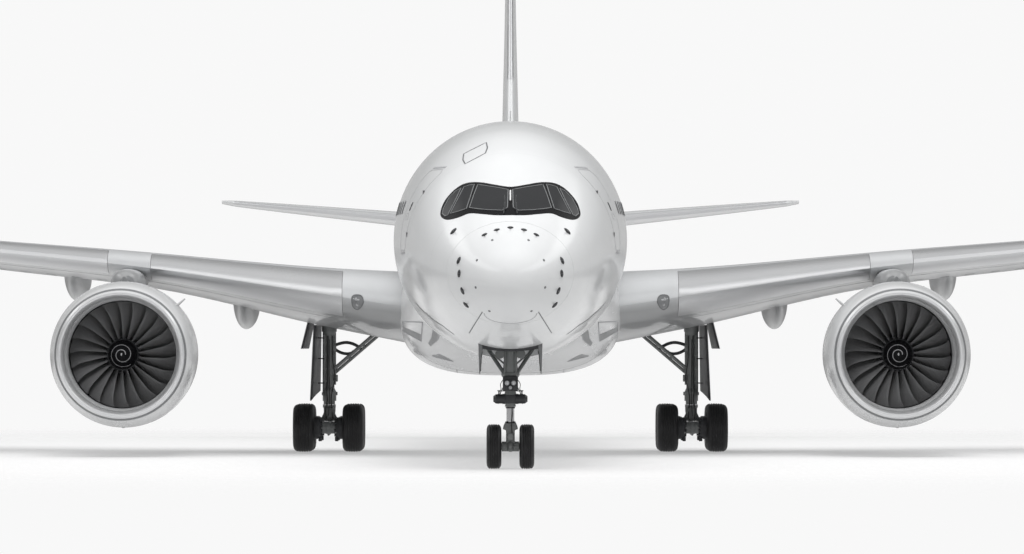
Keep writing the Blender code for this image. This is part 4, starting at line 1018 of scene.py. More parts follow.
# %% [markdown]
# ## Cabin windows and doors
# A long cabin window is a small rounded pane in a bright ring, repeated every frame bay. It
# would be easy to paint them on, but real windows sit in pressed rings that catch the light,
# so each one is a dark plate and a ring laid on the barrel. Doors interrupt the row, each with
# its gap, its own small window, a handle flap, two sills and a pair of hinges.

# %% Cabin windows
WINDOW_Z = 6.52
WINDOW_PITCH = 0.533
WINDOW_OUTLINE = rounded_box(0.235, 0.335, 0.105, 3)
DOOR_SIZE = (1.07, 2.02)
DOOR_Z = 6.43
DOORS_Y = (5.75, 19.60, 39.80, 54.30)
DOOR_CLEARANCE = 0.32
CABIN = (7.05, 56.6)
STANDOFF = 6
INWARD = (-1, 0, 0)
UP = (0, 0, 1)
DOWN = (0, 0, -1)


def beside(outline, y, z, side=1):
    """Stands an outline up beside the barrel, on its left (1) or its right (-1)."""
    return [Vector((side * STANDOFF, y + dy, z + dz)) for dy, dz in outline]


def side_line(outline, y, z, width, height, side=1):
    """Lays a closed outline on the left or right of the barrel as a strip."""
    return strip(
        body_tree, beside(outline, y, z, side), (-side, 0, 0), width, height, closed=True)


glass_parts = []
ring_parts = []
for k in range(int((CABIN[1] - CABIN[0]) / WINDOW_PITCH)):
    y = CABIN[0] + k * WINDOW_PITCH
    if any(abs(y - door_y) < DOOR_SIZE[0] / 2 + DOOR_CLEARANCE for door_y in DOORS_Y):
        continue
    path = beside(WINDOW_OUTLINE, y, WINDOW_Z)
    glass_parts.append(plate_on(body_tree, path, INWARD, 0.012))
    ring_parts.append(strip(body_tree, path, INWARD, 0.030, 0.005, closed=True, step=0.5))
publish_pair("cabin_windows", glass_parts, CABIN_GLASS)
publish_pair("window_rings", ring_parts, PALE_SEAL)
print("windows a side:", len(glass_parts))

# %% Passenger doors
DOOR_OUTLINE = rounded_box(*DOOR_SIZE, 0.22, 5)
DOOR_HANDLE = rounded_box(0.34, 0.15, 0.05)
DOOR_PANE = rounded_box(0.15, 0.22, 0.06)
SILLS = (-DOOR_SIZE[1] / 2 - 0.06, DOOR_SIZE[1] / 2 + 0.05)
SILL_HALF = 0.40
HINGE_DROPS = (-0.62, 0.42)
door_lines = []
door_glass = []
door_metal = []
for y in DOORS_Y:
    door_lines.append(side_line(DOOR_OUTLINE, y, DOOR_Z, 0.024, 0.004))
    door_lines.append(side_line(DOOR_HANDLE, y + 0.05, DOOR_Z - 0.15, 0.012, 0.005))
    for sill in SILLS:
        path = beside([(-SILL_HALF, sill), (SILL_HALF, sill)], y, DOOR_Z)
        door_lines.append(strip(body_tree, path, INWARD, 0.05, 0.008))
    door_glass.append(plate_on(body_tree, beside(DOOR_PANE, y, WINDOW_Z), INWARD, 0.005))
    for drop in HINGE_DROPS:
        place, _ = land(
            body_tree, (STANDOFF, y - DOOR_SIZE[0] / 2 - 0.03, DOOR_Z + drop), INWARD)
        door_metal.append(brick(
            place - Vector((0.03, 0.035, 0.06)), place + Vector((0.022, 0.035, 0.06)), 0.008))
publish_pair("door_gaps", door_lines, PALE_SEAL)
publish_pair("door_windows", door_glass, CABIN_GLASS)
publish_pair("door_hinges", door_metal, STEEL)
print("doors a side:", len(DOORS_Y))

# %% Cargo doors on the right, service panels underneath, aerials and beacons
CARGO_DOORS = ((13.10, 4.05, 2.70, 1.75), (46.20, 4.35, 2.60, 1.62), (51.60, 4.75, 0.95, 0.95))
CARGO_HANDLE = rounded_box(0.30, 0.12, 0.04)
CARGO_HANDLE_DROP = 0.32
BELLY_HATCHES = (
    (0.0, 8.9, 0.7, 0.9), (0.55, 11.4, 0.35, 0.5), (-0.6, 14.6, 0.5, 0.4), (0.0, 16.2, 0.8, 0.6),
    (-0.4, 44.2, 0.6, 0.8), (0.5, 48.0, 0.4, 0.6), (0.0, 52.0, 0.6, 0.7), (0.0, 57.4, 0.5, 1.1))
AERIALS = (
    (14.0, 8.76, 1, 0.42, 0.40, 0.20), (30.5, 8.76, 1, 0.42, 0.40, 0.20),
    (15.2, 2.71, -1, 0.40, 0.38, 0.18), (45.0, 2.80, -1, 0.40, 0.36, 0.18),
    (11.2, 2.71, -1, 0.24, 0.20, 0.10), (12.6, 2.71, -1, 0.24, 0.20, 0.10))
BEACONS = ((0, 26.0, 8.77), (0, 43.3, 2.70))
BLADE_SECTION = ((0, 0), (0.15, 1), (0.45, 1.2), (1, 0.1), (0.45, -1.2), (0.15, -1))
cargo_lines = []
for y, z, width, height in CARGO_DOORS:
    cargo_lines.append(side_line(rounded_box(width, height, 0.16, 4), y, z, 0.024, 0.004, -1))
    cargo_lines.append(
        side_line(CARGO_HANDLE, y, z - height * CARGO_HANDLE_DROP, 0.012, 0.005, -1))
publish("cargo_door_gaps", cargo_lines, SEAL)
belly_lines = []
for x, y, width, length in BELLY_HATCHES:
    path = [Vector((x + dx, y + dy, 0)) for dx, dy in rounded_box(width, length, 0.08, 3)]
    belly_lines.append(strip(body_tree, path, UP, 0.018, 0.004, closed=True))
publish("belly_panels", belly_lines, PALE_SEAL)


def fin_blade(y, z, side, chord, height, sweep):
    """Makes a blade aerial that stands on the skin, above it or below."""
    rings = []
    for share in (0.0, 0.5, 0.85, 1.0):
        length = chord * (1 - 0.45 * share)
        thick = 0.022 * (1 - 0.5 * share)
        rings.append([
            (over * thick, y + sweep * share + length * along, z + side * height * share)
            for along, over in BLADE_SECTION])
    return skin(rings)


publish("aerials", [fin_blade(*row) for row in AERIALS], WHITE_PAINT)
beacon_lamps = [ball(place, 0.085, (1, 1.5, 1)) for place in BEACONS]
publish("beacons", beacon_lamps, RED_GLASS)
print("aerials:", len(AERIALS))

# %% The exhaust of the tail's own small engine
TAIL_PIPE = (
    (LENGTH - 0.28, 0.30), (LENGTH - 0.01, 0.285), (LENGTH - 0.01, 0.225), (LENGTH - 0.35, 0.20))
tail_ring = turn(TAIL_PIPE, (0, 0, 7.335), "Y", 32)
# A dark plug almost flush with the pipe's mouth is painted shade for the depth of the pipe.
tail_hole = bar((0, LENGTH - 0.3, 7.335), (0, LENGTH - 0.004, 7.335), 0.215, 32)
publish("tail_pipe", tail_ring, HOT_METAL)
publish("tail_pipe_hole", tail_hole, DARK_GEAR)
print("tail pipe ready")

# %% [markdown]
# ## The fairing under the wing
# The wing box passes below the cabin floor, and a blown-out fairing hides it together with the
# main gear's bays and the cooling packs. It is skinned like the fuselage: each section slides
# from the barrel's own curve to a squarer one and back. Scoops for cooling air open in its front.

# %% Belly fairing
BELLY_ROWS = (
    (18.0, 0.00, 3.30), (19.5, 0.35, 3.70), (21.5, 0.80, 4.30), (24.0, 1.00, 4.95),
    (35.0, 1.00, 4.95), (37.5, 0.80, 4.50), (39.5, 0.35, 3.90), (41.0, 0.00, 3.40))
BELLY_HALF_WIDTH = 3.02
BELLY_SHOULDER_Z = 4.05
BELLY_BOTTOM_Z = 2.22
BELLY_TOP = (2.91, 4.95)
BELLY_SKIN = 0.03
BELLY_SQUARENESS = 3.0
BELLY_STEPS = 26
SHOULDER_SHARE = 0.2
BARREL_HALF_WIDTH = 2.98
BARREL_HALF_HEIGHT = 3.04
BARREL_Z = 5.73


def belly_ring(y, fullness, top_z):
    """Gives the points round the belly fairing, closed across inside the fuselage."""
    top_angle = math.asin((top_z - BARREL_Z) / BARREL_HALF_HEIGHT)
    power = 2 / BELLY_SQUARENESS
    half = []
    for share in steps(0, 1, BELLY_STEPS):
        angle = top_angle + (-math.pi / 2 - top_angle) * share
        barrel = Vector((
            (BARREL_HALF_WIDTH + BELLY_SKIN) * math.cos(angle),
            BARREL_Z + (BARREL_HALF_HEIGHT + BELLY_SKIN) * math.sin(angle)))
        if share < SHOULDER_SHARE:
            full = Vector(BELLY_TOP).lerp(
                Vector((BELLY_HALF_WIDTH, BELLY_SHOULDER_Z)), share / SHOULDER_SHARE)
        else:
            bend = math.pi / 2 * (share - SHOULDER_SHARE) / (1 - SHOULDER_SHARE)
            full = Vector((
                BELLY_HALF_WIDTH * max(math.cos(bend), 0) ** power,
                BELLY_SHOULDER_Z - (BELLY_SHOULDER_Z - BELLY_BOTTOM_Z) * math.sin(bend) ** power))
        half.append(barrel.lerp(full, fullness))
    left = [(point.x, y, point.y) for point in half]
    return left + [(-x, y, z) for x, y, z in reversed(left[:-1])]


belly_stations = steps(BELLY_ROWS[0][0], BELLY_ROWS[-1][0], 64)
belly_shape = skin([belly_ring(*eased(BELLY_ROWS, y)) for y in belly_stations])
belly_tree = tree_of(belly_shape)
publish("belly_skin", belly_shape, BELLY_PAINT, replaces=["belly_fairing"],
        sharp=50)
CROSS_SEAMS_Y = (21.8, 24.6, 35.6, 38.0)
LONG_SEAMS_X = (-1.45, 0.0, 1.45)
BAY_DOOR = ((0.08, 31.2), (2.55, 31.2), (2.55, 35.3), (0.08, 35.3))
belly_lines = []
for y in CROSS_SEAMS_Y:
    path = [(x, y, 0) for x in steps(-2.75, 2.75, 24)]
    belly_lines.append(strip(belly_tree, path, UP, 0.018, 0.004))
for x in LONG_SEAMS_X:
    belly_lines.append(strip(belly_tree, [(x, 21.8, 0), (x, 30.6, 0)], UP, 0.018, 0.004))
for side in (-1, 1):
    path = [(side * x, y, 0) for x, y in BAY_DOOR]
    belly_lines.append(strip(belly_tree, path, UP, 0.028, 0.005, closed=True))
publish("belly_seams", belly_lines, SEAL)

# %% Cooling air scoops, with painted shade in their mouths
SCOOP_MOUTH = ((2.905, 3.69), (2.35, 3.66), (2.39, 3.16), (2.89, 3.425))
SCOOP_SHADE_BAND = ((2.885, 3.535), (2.395, 3.33), (2.395, 3.17), (2.885, 3.43))
SCOOP_SLOTS = (
    ((2.05, 3.50), (1.865, 3.41), (1.94, 3.19), (2.13, 3.035), (2.19, 3.115), (2.10, 3.25)),
    ((2.10, 2.76), (1.90, 2.80), (1.76, 2.74), (1.54, 2.62), (1.79, 2.68)),
)
BEFORE_FAIRING = 17


def on_fairing(outline):
    """Stands an outline up ahead of the belly fairing."""
    return spaced_loop([Vector((x, BEFORE_FAIRING, z)) for x, z in outline])


# The grey plates are painted shade: a band low in the big mouth and the dark insides of the two
# slots.
scoop_shade_plates = [
    plate_on(belly_tree, on_fairing(outline), AHEAD, 0.012)
    for outline in (SCOOP_SHADE_BAND, *SCOOP_SLOTS)]
slot_rims = [
    strip(belly_tree, on_fairing(outline), AHEAD, 0.022, 0.018, closed=True, step=0.3)
    for outline in (SCOOP_MOUTH, *SCOOP_SLOTS)]
publish_pair("cooling_scoops", scoop_shade_plates, SCOOP_SHADE_GREY)
publish_pair("scoop_rims", slot_rims, PALE_SEAL)
print("belly done, with", len(slot_rims), "scoops a side")

# %% [markdown]
# ## The wings
# A wing is a row of ribs under a skin. Each rib here is a thin aerofoil: its place, chord,
# thickness and lean come from one table row, and the rows are eased so the tip sweeps up in
# one curve. Flaps, aileron, slat and drooping nose are then sawn out of the one whole wing
# with upright prisms. Sawing keeps every part flush with its neighbours, as on the real wing.

# %% Ribs of the wing
WING_ROWS = (
    (2.50, 22.06, 35.55, 4.03, 3.12, 0.093, 0.045, 0),
    (5.20, 23.95, 35.90, 4.45, 3.62, 0.080, 0.043, 0),
    (10.30, 27.52, 36.60, 5.22, 4.72, 0.062, 0.034, 0),
    (15.00, 30.81, 38.23, 5.72, 5.28, 0.058, 0.037, 0),
    (20.00, 34.31, 39.97, 6.26, 5.95, 0.056, 0.037, 0),
    (25.00, 37.81, 41.71, 6.83, 6.66, 0.055, 0.037, 0),
    (29.00, 40.60, 43.10, 7.33, 7.23, 0.054, 0.037, 8),
    (30.40, 41.70, 43.75, 7.64, 7.57, 0.052, 0.036, 22),
    (31.40, 42.75, 44.35, 8.08, 8.03, 0.050, 0.035, 38),
    (32.00, 43.60, 44.85, 8.56, 8.52, 0.048, 0.034, 55),
    (32.34, 44.45, 45.30, 9.28, 9.26, 0.045, 0.030, 72),
)
RIB_STEPS = 22
EDGE_THICKNESS = 0.02


def thickness_share(share):
    """Gives an aerofoil's half thickness along its chord, as a share of its greatest."""
    return 10 * (
        0.2969 * math.sqrt(share) - 0.1260 * share - 0.3516 * share ** 2
        + 0.2843 * share ** 3 - 0.1015 * share ** 4)


def rib_ring(row, grow=0.0):
    """Gives the points round one rib, from the trailing edge over the top and back below."""
    x, lead_y, trail_y, lead_z, trail_z, upper, lower, cant = row
    chord = trail_y - lead_y
    lean = math.radians(cant)
    across = Vector((-math.sin(lean), 0, math.cos(lean)))
    shares = [(1 + math.cos(math.pi * i / RIB_STEPS)) / 2 for i in range(RIB_STEPS)]

    def surface(share, part, side):
        thick = max(part * chord * thickness_share(share), EDGE_THICKNESS / 2) + grow
        on_chord = Vector((x, lead_y + chord * share, lead_z + (trail_z - lead_z) * share))
        return on_chord + across * thick * side

    top = [surface(share, upper, 1) for share in shares]
    bottom = [surface(share, lower, -1) for share in reversed(shares)]
    return [*top, Vector((x, lead_y - grow, lead_z)), *bottom]


def chord_y(rows, x, share):
    """Gives y at a share of the chord."""
    _, lead_y, trail_y, *_ = eased(rows, x)
    return lead_y + (trail_y - lead_y) * share


def chord_z(x, y):
    """Gives the height of the wing's chord at a place."""
    _, lead_y, trail_y, lead_z, trail_z, *_ = eased(WING_ROWS, x)
    share = min(max((y - lead_y) / (trail_y - lead_y), 0), 1)
    return lead_z + (trail_z - lead_z) * share


wing_stations = steps(WING_ROWS[0][0], 29.0, 44) + steps(29.0, WING_ROWS[-1][0], 26)[1:]
whole_wing = skin([rib_ring(eased(WING_ROWS, x)) for x in wing_stations])
wing_tree = tree_of(whole_wing)
print("wing ribs:", len(wing_stations))

# %% Prisms that saw the wing apart, and the canoes over the flap tracks
PRISM_HEIGHT = 12
SIDE_GAP = 0.035
FLAP_FRONT_GAP = 0.012
CONTROL_FRONT_GAP = 0.06
MOVABLE_REACH = 3.0
NOSE_SHARE = 0.11
NOSE_SEAM = 0.010
FAIRINGS = (
    (7.57, 30.6, 37.4, 3.49, 0.37), (12.50, 32.6, 38.6, 4.31, 0.37),
    (17.30, 34.9, 40.0, 4.93, 0.32))
FAIRING_FULLNESS = (
    (0, 0.10), (0.12, 0.55), (0.3, 0.88), (0.5, 1), (0.68, 0.95), (0.86, 0.6), (1, 0.06))


def plan_prism(span, fronts, inset, setback, rise=0.0):
    """Makes a prism over a movable part, with its ends square to its front.

    A rise along the hinge leans the prism, so that its ends are square to the hinge too.
    """
    start = Vector((span[0], fronts[0], 0))
    end = Vector((span[1], fronts[1], 0))
    along = (end - start).normalized()
    aft = Vector((-along.y, along.x, 0))
    ends = []
    for corner, inward in ((start, inset), (end, -inset)):
        shift = inward + chord_z(corner.x, corner.y) * rise
        ends.append(corner + along * shift + aft * setback)
    start, end = ends
    lean = Vector((0, 0, PRISM_HEIGHT)) - along * rise * PRISM_HEIGHT
    return prism((start, end, end + aft * MOVABLE_REACH, start + aft * MOVABLE_REACH), lean)


def leading_prism(rows, span, share, grow):
    """Makes an upright prism over the front of a wing, back to a share of its chord."""
    stations = steps(span[0] - grow, span[1] + grow, 16)
    front = [(x, eased(rows, x)[1] - 1, 0) for x in stations]
    back = [(x, chord_y(rows, x, share) + grow, 0) for x in reversed(stations)]
    return prism(front + back, (0, 0, PRISM_HEIGHT))


def track_fairing(x, front_y, back_y, bottom_z, half_width):
    """Makes one canoe-shaped fairing whose top lies inside the wing."""
    rings = []
    for share in steps(0.0, 1.0, 30):
        y = front_y + (back_y - front_y) * share
        middle = chord_z(x, y)
        fullness = eased(FAIRING_FULLNESS, share)[1]
        depth = max(middle - bottom_z, 0.1) * fullness
        rings.append([
            (x + half_width * fullness * math.cos(a), y, middle - depth * math.sin(a))
            for a in steps(0, math.pi, 20)])
    return skin(rings)


canoes = gather([track_fairing(*fairing) for fairing in FAIRINGS])
MOVABLES = (
    ("inboard_flap", (3.40, 10.15), (33.80, 34.99), FLAP_FRONT_GAP, 0.2086),
    ("outboard_flap", (10.85, 19.90), (35.16, 38.71), FLAP_FRONT_GAP, 0.1187),
    ("aileron", (20.45, 27.80), (38.93, 41.95), CONTROL_FRONT_GAP, 0.0),
)
NOSE_PARTS = (("droop_nose", (4.60, 10.00)), ("slat", (11.25, 28.60)))
wing_left_over = whole_wing.copy()
canoe_fronts = canoes.copy()
for name, span, fronts, gap, rise in MOVABLES:
    saw = plan_prism(span, fronts, SIDE_GAP, gap, rise)
    part = carve(whole_wing.copy(), saw.copy(), "INTERSECT")
    if "flap" in name:
        part = gather([part, carve(canoes.copy(), saw.copy(), "INTERSECT")])
    saw.free()
    publish_pair(f"{name}_skin", part, WING_PAINT, name + "_{side}_body",
                 [name + "_{side}"])
    wing_left_over = carve(wing_left_over, plan_prism(span, fronts, 0, 0, rise))
    canoe_fronts = carve(canoe_fronts, plan_prism(span, fronts, 0, 0, rise))
for name, span in NOSE_PARTS:
    part = carve(whole_wing.copy(), leading_prism(WING_ROWS, span, NOSE_SHARE, 0), "INTERSECT")
    publish_pair(f"{name}_skin", part, BARE_METAL, replaces=[name + "_{side}"])
    wing_left_over = carve(wing_left_over, leading_prism(WING_ROWS, span, NOSE_SHARE, NOSE_SEAM))
publish_pair("wing_skin", gather([wing_left_over, canoe_fronts]), WING_PAINT,
             replaces=["wing_{side}"])
canoes.free()
print("wing sawn into", 2 * (len(MOVABLES) + len(NOSE_PARTS) + 1), "pieces")

# %% Spoilers, tank panels, landing lamps, tip lamps and discharge rods
SPOILERS = (
    (4.00, 6.75, 33.90, 34.39), (6.85, 9.70, 34.40, 34.90), (11.10, 12.80, 35.26, 35.93),
    (12.90, 14.60, 35.96, 36.63), (14.70, 16.40, 36.67, 37.34), (16.50, 18.10, 37.37, 38.00),
    (18.20, 19.75, 38.04, 38.65))
SPOILER_CHORD = 0.95
SPOILER_GAP = 0.06
ABOVE_WING = 12
TANK_PANEL = rounded_box(0.26, 0.44, 0.12, 3)
LAMP_OUTLINE = ((4.30, 4.38), (4.08, 4.40), (4.00, 4.25), (4.06, 4.10), (4.18, 4.02), (4.30, 4.12))
LAMP_BULBS = ((4.20, 4.30), (4.17, 4.15))
BEFORE_WING = 15
TIP_LAMP_X = 29.2
wing_lines = []
for inner, outer, inner_y, outer_y in SPOILERS:
    path = [
        (x, y - back, ABOVE_WING) for x, y, back in (
            (inner, inner_y, SPOILER_GAP), (outer, outer_y, SPOILER_GAP),
            (outer, outer_y, SPOILER_CHORD), (inner, inner_y, SPOILER_CHORD))]
    wing_lines.append(strip(wing_tree, path, DOWN, 0.022, 0.004, closed=True, step=0.3))
for x in steps(11.6, 26.6, 20):
    middle = chord_y(WING_ROWS, x, 0.42)
    path = [(x + dx, middle + dy, 0) for dx, dy in TANK_PANEL]
    wing_lines.append(strip(wing_tree, path, UP, 0.014, 0.003, closed=True))
for share in (0.16, 0.62):
    for way, height in ((DOWN, ABOVE_WING), (UP, 0)):
        path = [(x, chord_y(WING_ROWS, x, share), height) for x in steps(4.8, 28.6, 40)]
        wing_lines.append(strip(wing_tree, path, way, 0.014, 0.003, step=1))
publish_pair("wing_seams", wing_lines, SEAL)

lamp_path = curve([(x, BEFORE_WING, z) for x, z in LAMP_OUTLINE], 4, closed=True)
lamp_glass = plate_on(wing_tree, lamp_path, AHEAD, 0.008)
lamp_rim = strip(wing_tree, lamp_path, AHEAD, 0.03, 0.014, closed=True, step=0.3)
publish_pair("root_lamps", lamp_glass, INTAKE_GREY)
publish_pair("root_lamp_rims", lamp_rim, SEAL)
lamp_bulbs = []
for x, z in LAMP_BULBS:
    place, _ = land(wing_tree, (x, BEFORE_WING, z), AHEAD)
    lamp_bulbs.append(ball(place + Vector((0, -0.004, 0)), 0.045, (1, 0.35, 1), 10))
publish_pair("root_lamp_bulbs", lamp_bulbs, PALE_SEAL)
grown_edge = skin([
    rib_ring(eased(WING_ROWS, x), 0.006) for x in steps(TIP_LAMP_X, TIP_LAMP_X + 0.7, 8)])
lamp_prism = leading_prism(WING_ROWS, (TIP_LAMP_X + 0.02, TIP_LAMP_X + 0.62), 0.10, 0)
left_lamp = carve(grown_edge, lamp_prism, "INTERSECT")
right_lamp = twin(left_lamp)
publish("tip_lamp_left", left_lamp, RED_GLASS)
publish("tip_lamp_right", right_lamp, GREEN_GLASS)


def edge_rods(rows, places, way):
    """Makes discharge rods that stand out from a trailing edge."""
    rods = []
    for x in places:
        trail = eased(rows, x)
        edge = Vector((x, trail[2], trail[4]))
        rods.append(bar(edge - Vector((0, 0.03, 0)), edge + Vector(way), 0.006, 6))
    return rods


ROD_WAY = (0.05, 0.26, -0.01)
aileron_rods = edge_rods(WING_ROWS, (24.0, 25.2, 26.4, 27.4), ROD_WAY)
tip_rods = edge_rods(WING_ROWS, (28.3, 29.5, 30.6, 31.4), ROD_WAY)
publish_pair("aileron_rods", aileron_rods, DARK_GEAR, "aileron_{side}_body")
publish_pair("wing_tip_rods", tip_rods, DARK_GEAR)
print("wing lines:", len(wing_lines))

# %% [markdown]
# ## The tail
# The fin and the tailplane are wings again, so the same ribs serve. The tailplane uses the
# wing's own table form, and the fin is a stack of level sections. Its leading edge has a bright
# metal guard, and the rudder and elevators are sawn out along their hinge lines.

# %% Tailplane and elevators
TAILPLANE_ROWS = (
    (0.60, 56.52, 62.39, 6.80, 6.72, 0.045, 0.055, 0),
    (1.80, 57.30, 62.60, 6.92, 6.86, 0.045, 0.055, 0),
    (8.90, 61.94, 64.05, 7.61, 7.58, 0.042, 0.050, 0),
    (9.38, 62.55, 64.15, 7.66, 7.63, 0.030, 0.036, 0),
)
ELEVATOR = ((2.25, 8.80), (61.16, 63.38))
tail_stations = steps(0.60, 8.90, 16) + steps(8.90, 9.38, 5)[1:]
whole_tailplane = skin([rib_ring(eased(TAILPLANE_ROWS, x)) for x in tail_stations])
elevator = carve(
    whole_tailplane.copy(), plan_prism(*ELEVATOR, SIDE_GAP, CONTROL_FRONT_GAP), "INTERSECT")
tail_guard = carve(
    skin([rib_ring(eased(TAILPLANE_ROWS, x), 0.003) for x in tail_stations]),
    leading_prism(TAILPLANE_ROWS, (2.0, 8.95), 0.035, 0), "INTERSECT")
tailplane = carve(whole_tailplane, plan_prism(*ELEVATOR, 0, 0))
publish_pair("elevator_skin", elevator, WHITE_PAINT, "elevator_{side}_body",
             ["elevator_{side}"])
publish_pair("tailplane_skin", tailplane, WHITE_PAINT,
             replaces=["tailplane_{side}"])
publish_pair("tailplane_guard", tail_guard, BARE_METAL)
elevator_rods = edge_rods(TAILPLANE_ROWS, (6.6, 7.5, 8.4), (0.03, 0.22, 0))
publish_pair("elevator_rods", elevator_rods, DARK_GEAR, "elevator_{side}_body")
print("tailplane sawn")

# %% Fin and rudder
FIN_ROWS = (
    (8.00, 48.60, 60.68, 0.27), (8.90, 51.30, 61.05, 0.27), (9.70, 53.50, 61.38, 0.26),
    (13.00, 57.10, 62.73, 0.19), (16.40, 60.80, 64.13, 0.125), (17.05, 61.75, 64.40, 0.08))
RUDDER_FRONT_Y = (58.45, 63.55)
RUDDER_Z = (9.05, 17.05)
RUDDER_GAPS = (0.075, 0.09)
FIN_GUARD = (11.4, 16.9, 0.16)


def fin_ring(z, grow=0.0):
    """Gives the points round a level section of the fin."""
    _, lead_y, trail_y, half = eased(FIN_ROWS, z)
    side = []
    for i in range(RIB_STEPS):
        share = (1 + math.cos(math.pi * i / RIB_STEPS)) / 2
        thick = max(half * thickness_share(share), EDGE_THICKNESS / 2) + grow
        side.append((thick, lead_y + (trail_y - lead_y) * share, z))
    return [*side, (0, lead_y - grow, z), *[(-x, y, z) for x, y, z in reversed(side)]]


def rudder_prism(front_gap, bottom_gap):
    """Makes a prism across the fin that holds the rudder."""
    low, high = RUDDER_Z[0] + bottom_gap, RUDDER_Z[1] + 0.1
    rake = (RUDDER_FRONT_Y[1] - RUDDER_FRONT_Y[0]) / (high - RUDDER_Z[0])
    front_low = RUDDER_FRONT_Y[0] + front_gap + bottom_gap * rake
    front_high = RUDDER_FRONT_Y[1] + front_gap
    corners = (
        (-1, front_low, low), (-1, front_high, high), (-1, front_high + MOVABLE_REACH, high),
        (-1, front_low + 2 * MOVABLE_REACH, low))
    return prism(corners, (2, 0, 0))


fin_heights = steps(8.0, 9.7, 12) + steps(9.7, 16.4, 18)[1:] + steps(16.4, 17.05, 6)[1:]
whole_fin = skin([fin_ring(z) for z in fin_heights])
rudder = carve(whole_fin.copy(), rudder_prism(*RUDDER_GAPS), "INTERSECT")
fin_rest = carve(whole_fin, rudder_prism(0, 0))
guard_low, guard_high, guard_depth = FIN_GUARD
guard_front = [(-1, eased(FIN_ROWS, z)[1], z) for z in steps(guard_low, guard_high, 6)]
guard_prism = prism(
    [(x, y - 1, z) for x, y, z in guard_front]
    + [(x, y + guard_depth, z) for x, y, z in reversed(guard_front)], (2, 0, 0))
fin_guard = carve(skin([fin_ring(z, 0.004) for z in fin_heights]), guard_prism, "INTERSECT")
publish("rudder_skin", rudder, WHITE_PAINT, "rudder_body", ["rudder"])
publish("fin_skin", fin_rest, WHITE_PAINT, replaces=["fin"])
publish("fin_guard", fin_guard, BARE_METAL)
rudder_rods = []
for z in (13.2, 14.3, 15.4, 16.3):
    trail_y = eased(FIN_ROWS, z)[2]
    rudder_rods.append(bar((0, trail_y - 0.03, z), (0, trail_y + 0.24, z + 0.02), 0.006, 6))
publish("rudder_rods", rudder_rods, DARK_GEAR, "rudder_body")
print("rudder rods:", len(rudder_rods))

# %% [markdown]
# ## Engines: lip, cowl and duct
# A turbofan's inlet lip is one polished ring, thick and round, because air comes round it from
# all sides. Behind a dark joint starts the painted cowl, which swells and then closes round the
# bypass duct. All of it is turned: an outline is spun about the engine's axis with 96 steps.
# The joints of the cowl's halves are narrow rings and strips that stand on the paint.

# %% The inlet lip, the painted cowl and the duct
ENGINE_AXIS = (ENGINE_X, 0, ENGINE_Z)
LIP_CURVE = (
    (22.50, 1.532), (22.30, 1.545), (22.14, 1.570), (22.045, 1.608), (22.003, 1.650),
    (22.012, 1.690), (22.05, 1.722), (22.10, 1.748), (22.155, 1.768),
)
COWL_FRONT = ((22.175, 1.775), (22.45, 1.862), (22.95, 1.945), (23.60, 1.992), (24.40, 1.998),
              (25.40, 1.968), (26.60, 1.905), (28.20, 1.718))
DUCT_BACK = ((28.20, 1.696), (26.40, 1.640), (24.60, 1.520), (24.10, 1.492))
LINER = ((22.508, 1.530), (22.70, 1.506), (22.95, 1.480), (23.30, 1.472))
FAN_CASE = ((23.31, 1.472), (23.96, 1.472), (24.14, 1.432), (24.70, 1.450), (25.60, 1.572))
LIP_JOINT = ((22.085, 1.72), (22.205, 1.76), (22.205, 1.794), (22.085, 1.748))
WALL = 0.02


def rounded(points, count=5):
    """Rounds an outline of (distance, radius) pairs."""
    return [(p.x, p.y) for p in curve([(a, r, 0) for a, r in points], count)]


def about_engine(profile, count=96, closed=True):
    """Turns a profile about the left engine's axis."""
    return turn(profile, ENGINE_AXIS, "Y", count, closed)


def ring_at(y, radius, width=0.016, height=0.004):
    """Makes a narrow ring that stands on a turned skin."""
    front, back = y - width / 2, y + width / 2
    low, high = radius - height, radius + height
    return about_engine([(front, low), (back, low), (back, high), (front, high)])


def thick_wall(points):
    """Closes a run of an outline into a thin wall by stepping it outwards."""
    return [*points, *[(a, r + WALL) for a, r in reversed(points)]]


def radial_plate(angle, edge, thick, lean=0.0):
    """Makes a flat plate along the engine that stands out from its axis, or leans over."""
    out = Vector((math.cos(angle), 0, math.sin(angle)))
    side = Vector((-out.z, 0, out.x)) * thick
    return prism([
        Vector((ENGINE_X, y, ENGINE_Z)) + out * radius
        + side * ((y - edge[0][0]) * lean / thick - 0.5) for y, radius in edge], side)


lip_shape = about_engine(rounded(LIP_CURVE) + [(22.155, 1.735), (22.50, 1.57)])
publish_pair("inlet_lip_skin", lip_shape, LIP_METAL, replaces=["inlet_lip_{side}"])
outer = rounded(COWL_FRONT)
cowl_shape = about_engine(
    outer + rounded(DUCT_BACK) + [(24.10, 1.53), (22.50, 1.58), (22.175, 1.745)])
cowl_tree = tree_of(cowl_shape)
publish_pair("cowl_skin", cowl_shape, COWL_PAINT, replaces=["engine_cowl_{side}"])
duct_liner = about_engine(thick_wall(rounded(LINER)))
publish_pair("duct_liner", duct_liner, DUCT_LINER)
publish_pair("fan_case", about_engine(thick_wall(FAN_CASE)), DARK_GEAR)
publish_pair("lip_joint", about_engine(LIP_JOINT), GASKET)
print("engine shells turned")

